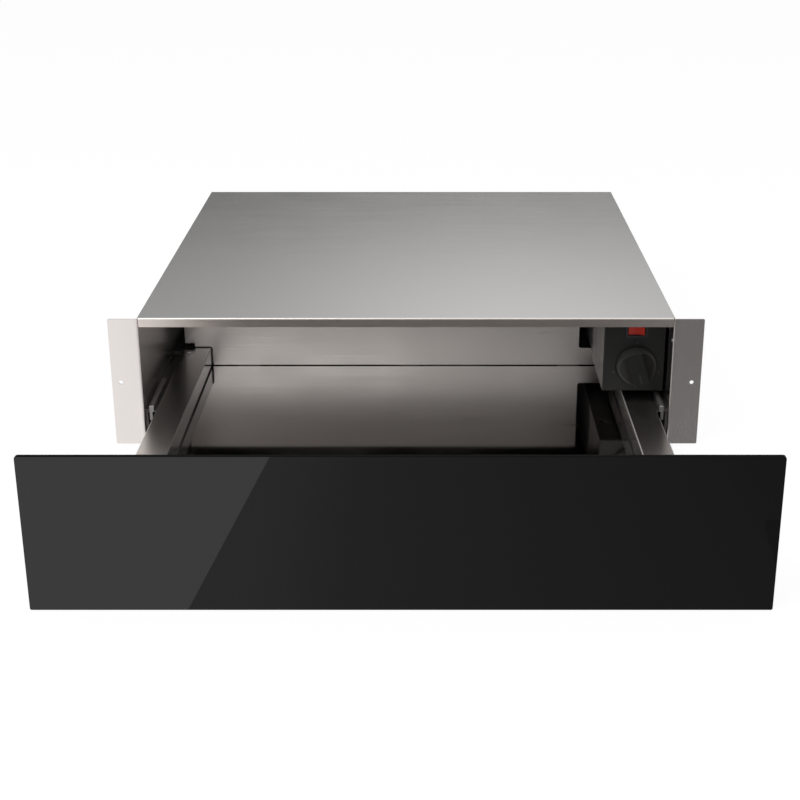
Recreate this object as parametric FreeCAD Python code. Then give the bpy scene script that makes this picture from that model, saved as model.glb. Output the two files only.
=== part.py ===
import FreeCAD, Part
import os

# Built in warming drawer, drawn open. Millimetres.
# Origin: centre of the casing's underside. +X to the right, +Y into the niche, +Z up.

# Driving dimensions of the casing
CASE_W = 530.0
CASE_D = 525.0
CASE_H = 136.5
SHEET = 1.0
LIP_H = 9.3
LIP_INSET = 1.4
FLANGE_W = 29.0
FLANGE_BOTTOM = 2.5
FLANGE_TOP = 135.5
FLANGE_HOLE_R = 2.0
FLANGE_HOLE_X = 285.0
FLANGE_HOLE_Z = 69.0
FLANGE_CORNER_R = 1.5

# Driving dimensions of the drawer
OPEN_TRAVEL = 304.0
GLASS_W = 595.0
GLASS_H = 134.5
GLASS_T = 4.0
GLASS_BOTTOM = 0.2
GLASS_FRONT_Y = -590.5
GLUE_T = 1.0
CARRIER_T = 17.0
CARRIER_W = 556.0
CARRIER_BOTTOM = 9.0
CARRIER_TOP = 121.5
DRAWER_W = 502.0
WALL_W = 29.3
WALL_TOP = 40.5
WALL_BOTTOM = 12.0
FLOOR_TOP = 18.8
BACK_FRONT_Y = -79.9
BACK_TOP = 118.7
SEAM = 1.0
SEAM_SIDE = 1.2
NOTCH_X = 191.4
NOTCH_Z = 39.8
NOTCH_R = 2.8

# Driving dimensions of the slides
RAIL_CASE_X = 254.0
RAIL_BOTTOM = 7.3
RAIL_TOP = 33.2
RAIL_SHEET = 1.2
RAIL_FRONT_Y = -250.0
RAIL_BACK_Y = 240.0
INNER_RAIL_OUT_X = 257.0
INNER_RAIL_BOTTOM = 13.5
INNER_RAIL_TOP = 27.0
BALL_D = 4.8
BALL_X = 255.8
CAGE_FRONT_Y = -240.0
CAGE_BACK_Y = -95.0
CAGE_SHEET = 0.6
BALL_PITCH = 24.0

# Driving dimensions of the controls
BOX_LEFT_X = 200.5
BOX_RIGHT_X = 262.7
BOX_FRONT_Y = -228.5
BOX_BACK_Y = -130.0
BOX_BOTTOM = 46.5
BOX_TOP = 133.5
BOX_WALL = 2.0
FASCIA_T = 3.0
DIAL_X = 234.0
DIAL_Z = 74.5
DIAL_R = 20.0
DIAL_TILT = -17.0
ROCKER_X = 232.85
ROCKER_Z = 113.0
ROCKER_W = 17.0
ROCKER_H = 11.6

# Driving dimensions of the heating and the air circulation
TUBE_D = 6.5
TUBE_Z = 7.6
FAN_X = -120.0
FAN_Z = 66.0
FAN_R = 38.0
FAN_BACK_Y = 259.5
FAN_T = 20.0
LATCH_Z = 66.0
PLUNGER_TRAVEL = 4.0

HALF_W = CASE_W / 2
HALF_D = CASE_D / 2
FRONT_Y = -HALF_D
BACK_Y = HALF_D
HALF_DRAWER = DRAWER_W / 2
WALL_IN_X = HALF_DRAWER - WALL_W
GLASS_BACK_Y = GLASS_FRONT_Y + GLASS_T
CARRIER_FRONT_Y = GLASS_BACK_Y + GLUE_T
CARRIER_BACK_Y = CARRIER_FRONT_Y + CARRIER_T
BACK_REAR_Y = BACK_FRONT_Y + SHEET
WALL_BACK_Y = BACK_REAR_Y + 6.0
X_AXIS = FreeCAD.Vector(1, 0, 0)
Y_AXIS = FreeCAD.Vector(0, 1, 0)
Z_AXIS = FreeCAD.Vector(0, 0, 1)


def vec(x, y, z):
    return FreeCAD.Vector(x, y, z)


def block(x0, x1, y0, y1, z0, z1):
    return Part.makeBox(x1 - x0, y1 - y0, z1 - z0, vec(x0, y0, z0))


def rod(x, y, z, radius, length, axis):
    return Part.makeCylinder(radius, length, vec(x, y, z), axis)


def join(shapes):
    whole = shapes[0].multiFuse(shapes[1:])
    return whole.removeSplitter()


def group(shapes):
    return Part.makeCompound(shapes)


def mirror_x(shape):
    return shape.mirror(vec(0, 0, 0), X_AXIS)


def plate_xz(points, y0, thickness):
    """A plate whose outline is a list of X, Z points, from y0 back by its thickness."""
    corners = [vec(x, y0, z) for x, z in points]
    corners.append(corners[0])
    return Part.Face(Part.makePolygon(corners)).extrude(vec(0, thickness, 0))


def plate_xy(points, z0, thickness):
    corners = [vec(x, y, z0) for x, y in points]
    corners.append(corners[0])
    return Part.Face(Part.makePolygon(corners)).extrude(vec(0, 0, thickness))


def round_edges(shape, radius, test):
    edges = [edge for edge in shape.Edges if test(edge)]
    return shape.makeFillet(radius, edges)


def runs_along(edge, axis):
    if len(edge.Vertexes) != 2:
        return False
    span = edge.Vertexes[1].Point - edge.Vertexes[0].Point
    return span.Length > 0 and abs(span.dot(axis)) > 0.999 * span.Length


def near(value, target):
    return abs(value - target) < 0.01


def is_at(edge, x, z):
    return near(edge.BoundBox.Center.x, x) and near(edge.BoundBox.Center.z, z)


SCREW_R = 1.4
SLOT_W = 0.7
SLOT_DEPTH = 0.8
PAN_ROUNDING = 0.6
DOME_ROUNDING = 0.9


def screw_head(x, y, z, direction, radius=3.0, height=1.6, shank=4.0, rounding=PAN_ROUNDING):
    """A head with a rounded rim and a cross slot; its shank runs against the given direction."""
    head = rod(x, y, z, radius, height, direction)
    rim = [e for e in head.Edges if near_plane(e, x, y, z, direction, height)]
    head = head.makeFillet(height * rounding, rim)
    stem = rod(x, y, z, SCREW_R, shank, direction * -1)
    across = direction.cross(Z_AXIS)
    if across.Length < 0.5:
        across = X_AXIS
    other = direction.cross(across)
    top = vec(x, y, z) + direction * height
    slots = []
    for along, side in ((across, other), (other, across)):
        start = top - along * (radius / 2) - side * (SLOT_W / 2) - direction * SLOT_DEPTH
        slots.append(box_from(start, along, radius, side, SLOT_W, direction, 2 * SLOT_DEPTH))
    return join([head, stem]).cut(slots[0]).cut(slots[1])


def near_plane(edge, x, y, z, direction, height):
    centre = edge.BoundBox.Center - vec(x, y, z)
    return abs(centre.dot(direction) - height) < 0.01 and edge.Closed


def box_from(start, u, u_len, v, v_len, w, w_len):
    corners = [start, start + u * u_len, start + u * u_len + v * v_len, start + v * v_len, start]
    return Part.Face(Part.makePolygon(corners)).extrude(w * w_len)


# ---------------------------------------------------------------- casing

CASE_SCREW_Y = (-150.0, 0.0, 150.0)
CASE_SCREW_Z = 126.0
RAIL_SCREW_Y = (-210.0, -30.0, 200.0)
RAIL_SCREW_Z = (RAIL_BOTTOM + RAIL_TOP) / 2
BACK_SCREW_X = (-240.0, 0.0, 240.0)
BACK_SCREW_Z = 8.0
RIVET_Y = -258.0
RIVET_Z = 112.2
RIVET_R = 1.1
RIVET_HEAD_R = 1.9
RIVET_HEAD_T = 0.8
GLAND_X = 215.0
GLAND_Z = 30.0
GLAND_R = 8.0
GLAND_BORE_R = 4.0
GLAND_INSIDE = 7.0
GLAND_LENGTH = 13.0
GLAND_COLLAR_R = 11.0
GLAND_COLLAR_T = 2.5
GLAND_NUT_T = 4.5
BEND_R = 0.9
LIP_BEND_R = 1.4
FLOOR_FOLD_H = 6.0
REAR_FOLD_H = 14.0
RIB_Y = (-235.0, 225.0)
RIB_HALF_X = 200.0
RIB_HALF_Y = 4.0
RIB_H = 0.8
TOP_FOLD_W = 12.0
TOP_FOLD_SETBACK = 3.0
HEM_W = 9.0
HEM_END = 16.0
EAR_HALF_Y = 12.0
EAR_BOTTOM = 16.0
EAR_TOP = 2.5
VENT_SLOTS = 12
VENT_X = -172.0
VENT_SHIFT = 170.0
VENT_PITCH = 9.0
VENT_W = 4.0
VENT_LOW_Z = 40.0
VENT_MID_Z = 95.0
VENT_HIGH_Z = 115.0


def case_floor():
    pan = block(-HALF_W + SHEET, HALF_W - SHEET, FRONT_Y, BACK_Y, 0, SHEET)
    fold_h = FLOOR_FOLD_H
    left = block(-HALF_W + SHEET, -HALF_W + 2 * SHEET, FRONT_Y, BACK_Y - SHEET, SHEET, fold_h)
    front = block(-HALF_W + 2 * SHEET, HALF_W - 2 * SHEET, FRONT_Y, FRONT_Y + SHEET, SHEET, fold_h)
    rear = block(
        -HALF_W + 2 * SHEET, HALF_W - 2 * SHEET, BACK_Y - 2 * SHEET, BACK_Y - SHEET, SHEET, REAR_FOLD_H)
    ribs = []
    for y in RIB_Y:
        ribs.append(block(-RIB_HALF_X, RIB_HALF_X, y - RIB_HALF_Y, y + RIB_HALF_Y, SHEET, SHEET + RIB_H))
    floor = join([pan, left, mirror_x(left), front, rear] + ribs)
    for x in BACK_SCREW_X:
        floor = floor.cut(rod(x, BACK_Y - 4, BACK_SCREW_Z, SCREW_R, 4, Y_AXIS))
    return floor


def case_side(sign):
    wall = block(HALF_W - SHEET, HALF_W, FRONT_Y + SHEET, BACK_Y, 0, CASE_H - SHEET)
    top_fold = block(
        HALF_W - SHEET - TOP_FOLD_W, HALF_W - SHEET, FRONT_Y + TOP_FOLD_SETBACK, BACK_Y - TOP_FOLD_SETBACK,
        CASE_H - 2 * SHEET, CASE_H - SHEET)
    bend = block(HALF_W - SHEET, HALF_W, FRONT_Y, FRONT_Y + SHEET, FLANGE_BOTTOM, FLANGE_TOP)
    flange = block(HALF_W, HALF_W + FLANGE_W, FRONT_Y, FRONT_Y + SHEET, FLANGE_BOTTOM, FLANGE_TOP)
    flange = round_edges(
        flange, FLANGE_CORNER_R,
        lambda e: runs_along(e, Y_AXIS) and near(e.BoundBox.Center.x, HALF_W + FLANGE_W))
    side = join([wall, top_fold, bend, flange])
    side = round_edges(
        side, BEND_R,
        lambda e: runs_along(e, Z_AXIS) and near(e.BoundBox.Center.x, HALF_W - SHEET)
        and near(e.BoundBox.Center.y, FRONT_Y))
    side = side.cut(rod(FLANGE_HOLE_X, FRONT_Y - 1, FLANGE_HOLE_Z, FLANGE_HOLE_R, 4, Y_AXIS))
    for y in CASE_SCREW_Y:
        side = side.cut(rod(HALF_W - 2, y, CASE_SCREW_Z, SCREW_R, 4, X_AXIS))
    for y in RAIL_SCREW_Y:
        side = side.cut(rod(HALF_W - 2, y, RAIL_SCREW_Z, SCREW_R, 4, X_AXIS))
    if sign < 0:
        return mirror_x(side)
    for y in HOUSING_SCREW_Y:
        side = side.cut(rod(HALF_W - 2, y, HOUSING_SCREW_Z, SCREW_R, 4, X_AXIS))
    return side.cut(rod(HALF_W - 2, RIVET_Y, RIVET_Z, RIVET_R, 4, X_AXIS))


def case_top():
    sheet = block(-HALF_W, HALF_W, FRONT_Y, BACK_Y, CASE_H - SHEET, CASE_H)
    sheet = round_edges(
        sheet, BEND_R,
        lambda e: runs_along(e, Y_AXIS) and near(e.BoundBox.Center.z, CASE_H))
    notch = block(
        HALF_W - LIP_INSET, HALF_W + 1, FRONT_Y - 1, FRONT_Y + LIP_BEND_R, CASE_H - 2, CASE_H + 1)
    sheet = sheet.cut(notch).cut(mirror_x(notch))
    lip_z = CASE_H - LIP_H
    lip_x = HALF_W - LIP_INSET
    lip = block(-lip_x, lip_x, FRONT_Y, FRONT_Y + SHEET, lip_z, CASE_H - SHEET)
    hem_x = HALF_W - HEM_END
    hem = block(-hem_x, hem_x, FRONT_Y + SHEET, FRONT_Y + SHEET + HEM_W, lip_z, lip_z + SHEET)
    top = join([sheet, lip, hem])
    top = round_edges(
        top, LIP_BEND_R,
        lambda e: runs_along(e, X_AXIS) and near(e.BoundBox.Center.z, CASE_H)
        and near(e.BoundBox.Center.y, FRONT_Y))
    ears = []
    for y in CASE_SCREW_Y:
        ear = block(
            HALF_W - 2 * SHEET, HALF_W - SHEET, y - EAR_HALF_Y, y + EAR_HALF_Y,
            CASE_H - EAR_BOTTOM, CASE_H - EAR_TOP)
        ears.append(ear.cut(rod(HALF_W - 3, y, CASE_SCREW_Z, SCREW_R, 4, X_AXIS)))
    return top, group(ears + [mirror_x(ear) for ear in ears])


def case_back():
    panel = block(-HALF_W + SHEET, HALF_W - SHEET, BACK_Y - SHEET, BACK_Y, SHEET, CASE_H - SHEET)
    for i in range(VENT_SLOTS):
        low_x = VENT_X + i * VENT_PITCH
        high_x = low_x + VENT_SHIFT
        panel = panel.cut(block(low_x, low_x + VENT_W, BACK_Y - 3, BACK_Y + 1, VENT_LOW_Z, VENT_MID_Z))
        panel = panel.cut(block(high_x, high_x + VENT_W, BACK_Y - 3, BACK_Y + 1, VENT_MID_Z, VENT_HIGH_Z))
    panel = panel.cut(rod(GLAND_X, BACK_Y - 3, GLAND_Z, GLAND_R, 6, Y_AXIS))
    for x in BACK_SCREW_X:
        panel = panel.cut(rod(x, BACK_Y - 3, BACK_SCREW_Z, SCREW_R, 6, Y_AXIS))
    return panel


def cable_gland():
    body = rod(GLAND_X, BACK_Y - GLAND_INSIDE, GLAND_Z, GLAND_R, GLAND_LENGTH, Y_AXIS)
    collar = rod(GLAND_X, BACK_Y, GLAND_Z, GLAND_COLLAR_R, GLAND_COLLAR_T, Y_AXIS)
    nut = rod(GLAND_X, BACK_Y - SHEET - GLAND_NUT_T, GLAND_Z, GLAND_COLLAR_R, GLAND_NUT_T, Y_AXIS)
    gland = join([body, collar, nut])
    return gland.cut(rod(GLAND_X, BACK_Y - 10, GLAND_Z, GLAND_BORE_R, 20, Y_AXIS))


def case_screws():
    heads = []
    for y in CASE_SCREW_Y:
        right = screw_head(HALF_W, y, CASE_SCREW_Z, X_AXIS, shank=2.0)
        heads += [right, mirror_x(right)]
    for x in BACK_SCREW_X:
        heads.append(screw_head(x, BACK_Y, BACK_SCREW_Z, Y_AXIS, shank=3.0))
    return group(heads)


def side_rivet():
    head = rod(HALF_W - SHEET - RIVET_HEAD_T, RIVET_Y, RIVET_Z, RIVET_HEAD_R, RIVET_HEAD_T, X_AXIS)
    stem = rod(HALF_W - SHEET, RIVET_Y, RIVET_Z, RIVET_R, SHEET, X_AXIS)
    return join([head, stem])


# ---------------------------------------------------------------- slides

def outer_rail(sign):
    wall_x = HALF_W - SHEET
    web = block(wall_x - RAIL_SHEET, wall_x, RAIL_FRONT_Y, RAIL_BACK_Y, RAIL_BOTTOM, RAIL_TOP)
    lip_x = wall_x - RAIL_SHEET
    top = block(RAIL_CASE_X, lip_x, RAIL_FRONT_Y, RAIL_BACK_Y, RAIL_TOP - RAIL_SHEET, RAIL_TOP)
    low = block(RAIL_CASE_X, lip_x, RAIL_FRONT_Y, RAIL_BACK_Y, RAIL_BOTTOM, RAIL_BOTTOM + RAIL_SHEET)
    rail = join([web, top, low])
    for y in RAIL_SCREW_Y:
        rail = rail.cut(rod(wall_x - 3, y, RAIL_SCREW_Z, SCREW_R, 5, X_AXIS))
    return rail if sign > 0 else mirror_x(rail)


def rail_screws():
    heads = []
    for y in RAIL_SCREW_Y:
        head = screw_head(HALF_W, y, RAIL_SCREW_Z, X_AXIS, radius=3.2, shank=SHEET + RAIL_SHEET)
        heads += [head, mirror_x(head)]
    return group(heads)


GUIDE_IN_X = 256.2
GUIDE_OUT_X = 260.6
GUIDE_TOP = 39.5
GUIDE_FRONT_Y = -252.5
GUIDE_BACK_Y = -173.5
GUIDE_SKIN = 0.8
GUIDE_FOOT_INSET = 4.0
TONGUE_IN_X = 257.8
TONGUE_BOTTOM = 24.0


def drawer_guide(sign):
    """Folded guide on the front of the outer rail, with a tongue that hangs in front of the rail."""
    skin = GUIDE_SKIN
    outside = block(GUIDE_IN_X, GUIDE_OUT_X, GUIDE_FRONT_Y, GUIDE_BACK_Y, RAIL_TOP, GUIDE_TOP)
    outside = round_edges(
        outside, 0.7, lambda e: runs_along(e, Y_AXIS) and near(e.BoundBox.Center.z, GUIDE_TOP))
    hollow = block(
        GUIDE_IN_X + skin, GUIDE_OUT_X - skin, GUIDE_FRONT_Y + skin, GUIDE_BACK_Y + 1,
        0, GUIDE_TOP - skin)
    foot = block(
        GUIDE_IN_X, HALF_W - SHEET, GUIDE_FRONT_Y + GUIDE_FOOT_INSET, GUIDE_BACK_Y - GUIDE_FOOT_INSET,
        RAIL_TOP, RAIL_TOP + skin)
    tongue = block(TONGUE_IN_X, GUIDE_OUT_X, GUIDE_FRONT_Y, GUIDE_FRONT_Y + skin, TONGUE_BOTTOM, RAIL_TOP)
    guide = join([outside.cut(hollow), foot, tongue])
    return guide if sign > 0 else mirror_x(guide)


def inner_rail(sign):
    front = CARRIER_BACK_Y + 2.0
    back = BACK_FRONT_Y
    web = block(HALF_DRAWER, HALF_DRAWER + RAIL_SHEET, front, back, INNER_RAIL_BOTTOM, INNER_RAIL_TOP)
    top = block(HALF_DRAWER, INNER_RAIL_OUT_X, front, back, INNER_RAIL_TOP - RAIL_SHEET, INNER_RAIL_TOP)
    low = block(
        HALF_DRAWER, INNER_RAIL_OUT_X, front, back, INNER_RAIL_BOTTOM, INNER_RAIL_BOTTOM + RAIL_SHEET)
    rail = join([web, top, low])
    rail = round_edges(
        rail, 0.5,
        lambda e: runs_along(e, Y_AXIS) and near(e.BoundBox.Center.x, INNER_RAIL_OUT_X)
        and near(e.BoundBox.Center.z, INNER_RAIL_TOP))
    return rail if sign > 0 else mirror_x(rail)


FIRST_BALL = 10.0
CAGE_WEB_X = 260.0
CAGE_HALF_W = 3.2
BALL_PLAY = 0.15


def ball_places():
    rows = []
    count = int((CAGE_BACK_Y - CAGE_FRONT_Y - FIRST_BALL) // BALL_PITCH) + 1
    for i in range(count):
        y = CAGE_FRONT_Y + FIRST_BALL + i * BALL_PITCH
        rows.append((y, (INNER_RAIL_TOP + RAIL_TOP - RAIL_SHEET) / 2))
        rows.append((y, (INNER_RAIL_BOTTOM + RAIL_BOTTOM + RAIL_SHEET) / 2))
    return rows


def ball_cage(sign):
    web_x = CAGE_WEB_X
    high = (INNER_RAIL_TOP + RAIL_TOP - RAIL_SHEET) / 2 + CAGE_SHEET / 2
    low = (INNER_RAIL_BOTTOM + RAIL_BOTTOM + RAIL_SHEET) / 2 - CAGE_SHEET / 2
    web = block(web_x, web_x + CAGE_SHEET, CAGE_FRONT_Y, CAGE_BACK_Y, low, high)
    top = block(BALL_X - CAGE_HALF_W, web_x, CAGE_FRONT_Y, CAGE_BACK_Y, high - CAGE_SHEET, high)
    bottom = block(BALL_X - CAGE_HALF_W, web_x, CAGE_FRONT_Y, CAGE_BACK_Y, low, low + CAGE_SHEET)
    cage = join([web, top, bottom])
    for y, z in ball_places():
        cage = cage.cut(rod(BALL_X, y, z - 2, BALL_D / 2 + BALL_PLAY, 4, Z_AXIS))
    return cage if sign > 0 else mirror_x(cage)


def balls(sign):
    return group([Part.makeSphere(BALL_D / 2, vec(sign * BALL_X, y, z)) for y, z in ball_places()])


STOP_Z = 34.6
STOP_TOP = 39.0
STOP_LUG_FRONT_Y = -84.0
STOP_FRONT_Y = -118.0
STOP_IN_X = 254.5
STOP_PAD_X = 260.0
STOP_PAD_T = 2.0
STOP_PLAY = 0.3
LUG_SHEET = 1.2
LUG_OUT_X = 258.5
LUG_T = 2.0
LUG_FOOT_FRONT = 20.0
LUG_FOOT_BACK = 3.0


def open_stops():
    """Angle on each case side, with a pad, that the drawer's lugs meet when the drawer is fully open."""
    wall_x = HALF_W - SHEET
    arm_y = STOP_LUG_FRONT_Y - STOP_PLAY - STOP_PAD_T
    leg = block(wall_x - SHEET, wall_x, STOP_FRONT_Y, arm_y, STOP_Z, STOP_TOP)
    arm = block(STOP_IN_X, wall_x - SHEET, arm_y - LUG_T, arm_y, STOP_Z, STOP_TOP)
    stop = join([leg, arm])
    return group([stop, mirror_x(stop)])


def stop_pads():
    pad_y = STOP_LUG_FRONT_Y - STOP_PLAY
    pad = block(STOP_IN_X, STOP_PAD_X, pad_y - STOP_PAD_T, pad_y, STOP_Z, STOP_TOP)
    return group([pad, mirror_x(pad)])


def stop_lugs():
    front = STOP_LUG_FRONT_Y
    foot = block(
        HALF_DRAWER, HALF_DRAWER + LUG_SHEET, front - LUG_FOOT_FRONT, front + LUG_FOOT_BACK,
        STOP_Z, STOP_TOP)
    lug = block(HALF_DRAWER + LUG_SHEET, LUG_OUT_X, front, front + LUG_T, STOP_Z, STOP_TOP)
    whole = join([foot, lug])
    return group([whole, mirror_x(whole)])


# ---------------------------------------------------------------- drawer

FLOOR_SLOT = 1.3
FLOOR_HALF_X = WALL_IN_X - FLOOR_SLOT
FLOOR_FOOT_X = 249.0
LEG_GAP = 1.0
WALL_LIP_W = 10.0
WALL_BEND_R = 0.8


def drawer_floor():
    """Flat floor with a fold down each side; the feet stand on the lower lips of the walls."""
    front = CARRIER_BACK_Y
    back = WALL_BACK_Y
    foot_z = WALL_BOTTOM + SHEET
    plate = block(-FLOOR_HALF_X, FLOOR_HALF_X, front, back, FLOOR_TOP - SHEET, FLOOR_TOP)
    fold = block(FLOOR_HALF_X - SHEET, FLOOR_HALF_X, front, back, foot_z, FLOOR_TOP)
    foot = block(FLOOR_HALF_X, FLOOR_FOOT_X, front, back, foot_z, foot_z + SHEET)
    right = join([fold, foot])
    return join([plate, right, mirror_x(right)])


WALL_SCREW_X = -244.7
WALL_SCREW_Y = -97.0


def drawer_side(sign):
    """Hollow wall folded from one sheet; its inner leg reaches down beside the floor's fold."""
    front = CARRIER_BACK_Y
    back = WALL_BACK_Y
    outer = block(HALF_DRAWER - SHEET, HALF_DRAWER, front, back, WALL_BOTTOM, WALL_TOP)
    top = block(WALL_IN_X, HALF_DRAWER, front, back, WALL_TOP - SHEET, WALL_TOP)
    leg_z = WALL_BOTTOM + 2 * SHEET + LEG_GAP
    inner = block(WALL_IN_X, WALL_IN_X + SHEET, front, back, leg_z, WALL_TOP)
    lower = block(HALF_DRAWER - WALL_LIP_W, HALF_DRAWER, front, back, WALL_BOTTOM, WALL_BOTTOM + SHEET)
    wall = join([outer, top, inner, lower])
    wall = round_edges(
        wall, WALL_BEND_R,
        lambda e: runs_along(e, Y_AXIS) and near(e.BoundBox.Center.z, WALL_TOP))
    if sign > 0:
        return wall
    hole = rod(-WALL_SCREW_X, WALL_SCREW_Y, WALL_TOP - 3, SCREW_R, 6, Z_AXIS)
    return mirror_x(wall.cut(hole))


CORNER_CUT_W = 11.0
CORNER_CUT_H = 5.0
BACK_FOLD_W = 7.0
BACK_FOLD_END = 3.0


def drawer_back():
    """Panel cut clear of the floor and of both walls, which run on behind it."""
    low_x = WALL_IN_X - SEAM_SIDE
    over_wall_z = WALL_TOP + SEAM
    low_z = FLOOR_TOP + SEAM
    outline = [
        (-low_x, low_z), (low_x, low_z), (low_x, NOTCH_Z), (NOTCH_X, NOTCH_Z), (NOTCH_X, BACK_TOP),
        (-HALF_DRAWER, BACK_TOP), (-HALF_DRAWER, over_wall_z), (-low_x, over_wall_z)]
    panel = plate_xz(outline, BACK_FRONT_Y, SHEET)
    panel = round_edges(
        panel, NOTCH_R,
        lambda e: runs_along(e, Y_AXIS) and (
            is_at(e, NOTCH_X, NOTCH_Z) or is_at(e, -low_x, over_wall_z)))
    corner = block(
        -HALF_DRAWER - 1, -HALF_DRAWER + CORNER_CUT_W, BACK_FRONT_Y - 1, BACK_REAR_Y + 1,
        WALL_TOP, WALL_TOP + CORNER_CUT_H)
    panel = panel.cut(corner)
    top_fold = block(
        -HALF_DRAWER, NOTCH_X - BACK_FOLD_END, BACK_REAR_Y, BACK_REAR_Y + BACK_FOLD_W,
        BACK_TOP - SHEET, BACK_TOP)
    return join([panel, top_fold])


BACK_BRACKET_X = (-180.0, 0.0, 180.0)
BACK_BRACKET_HALF_W = 12.0
BACK_BRACKET_H = 20.0


def back_brackets():
    """Small angles behind the back panel that join it to the floor."""
    angles = []
    for x in BACK_BRACKET_X:
        x0 = x - BACK_BRACKET_HALF_W
        x1 = x + BACK_BRACKET_HALF_W
        leg = block(x0, x1, BACK_REAR_Y, BACK_REAR_Y + SHEET, FLOOR_TOP, FLOOR_TOP + BACK_BRACKET_H)
        base = block(x0, x1, BACK_REAR_Y + SHEET, WALL_BACK_Y, FLOOR_TOP, FLOOR_TOP + SHEET)
        angles.append(join([leg, base]))
    return group(angles)


CARRIER_LIP = 14.0
GLUE_W = 10.0
GLUE_INSET = 2.0


def front_carrier():
    """Shallow folded pan behind the glass, open towards the glass, with a return lip all round."""
    half = CARRIER_W / 2
    outside = block(-half, half, CARRIER_FRONT_Y, CARRIER_BACK_Y, CARRIER_BOTTOM, CARRIER_TOP)
    hollow = block(
        -half + SHEET, half - SHEET, CARRIER_FRONT_Y + SHEET, CARRIER_BACK_Y - SHEET,
        CARRIER_BOTTOM + SHEET, CARRIER_TOP - SHEET)
    mouth = block(
        -half + CARRIER_LIP, half - CARRIER_LIP, CARRIER_FRONT_Y - 1, CARRIER_FRONT_Y + SHEET,
        CARRIER_BOTTOM + CARRIER_LIP, CARRIER_TOP - CARRIER_LIP)
    return outside.cut(hollow).cut(mouth)


def glass_glue():
    end = CARRIER_W / 2 - GLUE_INSET
    strips = []
    for z0 in (CARRIER_BOTTOM + GLUE_INSET, CARRIER_TOP - GLUE_INSET - GLUE_W):
        strips.append(block(-end, end, GLASS_BACK_Y, CARRIER_FRONT_Y, z0, z0 + GLUE_W))
    for x0 in (-end, end - GLUE_W):
        strips.append(block(
            x0, x0 + GLUE_W, GLASS_BACK_Y, CARRIER_FRONT_Y,
            CARRIER_BOTTOM + CARRIER_LIP, CARRIER_TOP - CARRIER_LIP))
    return group(strips)


GLASS_TOP_R = 2.5
GLASS_LOW_R = 1.5
GLASS_CHAMFER = 0.45


def glass_front():
    half = GLASS_W / 2
    middle_z = GLASS_BOTTOM + GLASS_H / 2
    pane = block(-half, half, GLASS_FRONT_Y, GLASS_BACK_Y, GLASS_BOTTOM, GLASS_BOTTOM + GLASS_H)
    pane = round_edges(
        pane, GLASS_TOP_R, lambda e: runs_along(e, Y_AXIS) and e.BoundBox.Center.z > middle_z)
    pane = round_edges(
        pane, GLASS_LOW_R,
        lambda e: runs_along(e, Y_AXIS) and e.BoundBox.Center.z < GLASS_BOTTOM + GLASS_LOW_R)
    rim = [e for e in pane.Edges if near(e.BoundBox.YMin, e.BoundBox.YMax)]
    return pane.makeChamfer(GLASS_CHAMFER, rim)


BUFFER_X = 271.0
BUFFER_Z = (22.0, 110.0)
BUFFER_R = 4.0
BUFFER_T = 1.7
BUFFER_CHAMFER = 0.4


def front_buffers():
    pads = []
    for z in BUFFER_Z:
        for x in (-BUFFER_X, BUFFER_X):
            pad = rod(x, CARRIER_BACK_Y, z, BUFFER_R, BUFFER_T, Y_AXIS)
            rim = [e for e in pad.Edges if near(e.BoundBox.YMin, CARRIER_BACK_Y + BUFFER_T)]
            pads.append(pad.makeChamfer(BUFFER_CHAMFER, rim))
    return group(pads)


ANGLE_T = 2.0
ANGLE_LENGTH = 60.0
ANGLE_LOW_GAP = 1.2
ANGLE_HIGH_GAP = 3.5
ANGLE_SIDE_GAP = 4.0


def carrier_brackets():
    """Angle inside each hollow wall, fixed to the carrier's rear skin."""
    x1 = HALF_DRAWER - SHEET
    z0 = FLOOR_TOP + ANGLE_LOW_GAP
    z1 = WALL_TOP - ANGLE_HIGH_GAP
    y0 = CARRIER_BACK_Y
    leg = block(x1 - ANGLE_T, x1, y0, y0 + ANGLE_LENGTH, z0, z1)
    base = block(WALL_IN_X + ANGLE_SIDE_GAP, x1 - ANGLE_T, y0, y0 + ANGLE_T, z0, z1)
    bracket = join([leg, base])
    return group([bracket, mirror_x(bracket)])


def drawer_screws():
    """The domed screw in the top of the left wall, beside the back panel."""
    head = screw_head(
        WALL_SCREW_X, WALL_SCREW_Y, WALL_TOP, Z_AXIS, radius=2.9, height=2.2, shank=5.0,
        rounding=DOME_ROUNDING)
    return group([head])


STRIKER_HALF_X = 12.0
STRIKER_HALF_Z = 10.0
STRIKER_T = 1.0
STRIKER_CORNER_R = 2.0


def latch_striker():
    pad = block(
        -STRIKER_HALF_X, STRIKER_HALF_X, BACK_REAR_Y, BACK_REAR_Y + STRIKER_T,
        LATCH_Z - STRIKER_HALF_Z, LATCH_Z + STRIKER_HALF_Z)
    return round_edges(pad, STRIKER_CORNER_R, lambda e: runs_along(e, Y_AXIS))


# ---------------------------------------------------------------- controls

DIAL_HOLE_R = 4.5
SWITCH_CUT_W = 17.6
SWITCH_CUT_H = 12.4
SWITCH_WALL_X = 1.5
SWITCH_WALL_Z = 1.2
SWITCH_DEPTH = 12.0
FRAME_LIP_X = 2.6
FRAME_LIP_Z = 2.2
FRAME_LIP_T = 1.2
BODY_DEPTH = 14.0
TAB_LENGTH = 8.0
TAB_PITCH = 6.0
TAB_HALF_W = 2.4
TAB_HALF_T = 0.4
PASSAGE_INSET = 12.0
PASSAGE_LOW_Z = 62.0
PASSAGE_HIGH_Z = 112.0
BOSS_R = 5.0
FASCIA_CHAMFER = 0.8
WELL_R = DIAL_R + 1.2
WELL_DEPTH = 0.9
HOUSING_SCREW_Y = (-205.0, -150.0)
HOUSING_SCREW_Z = 58.0


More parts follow.
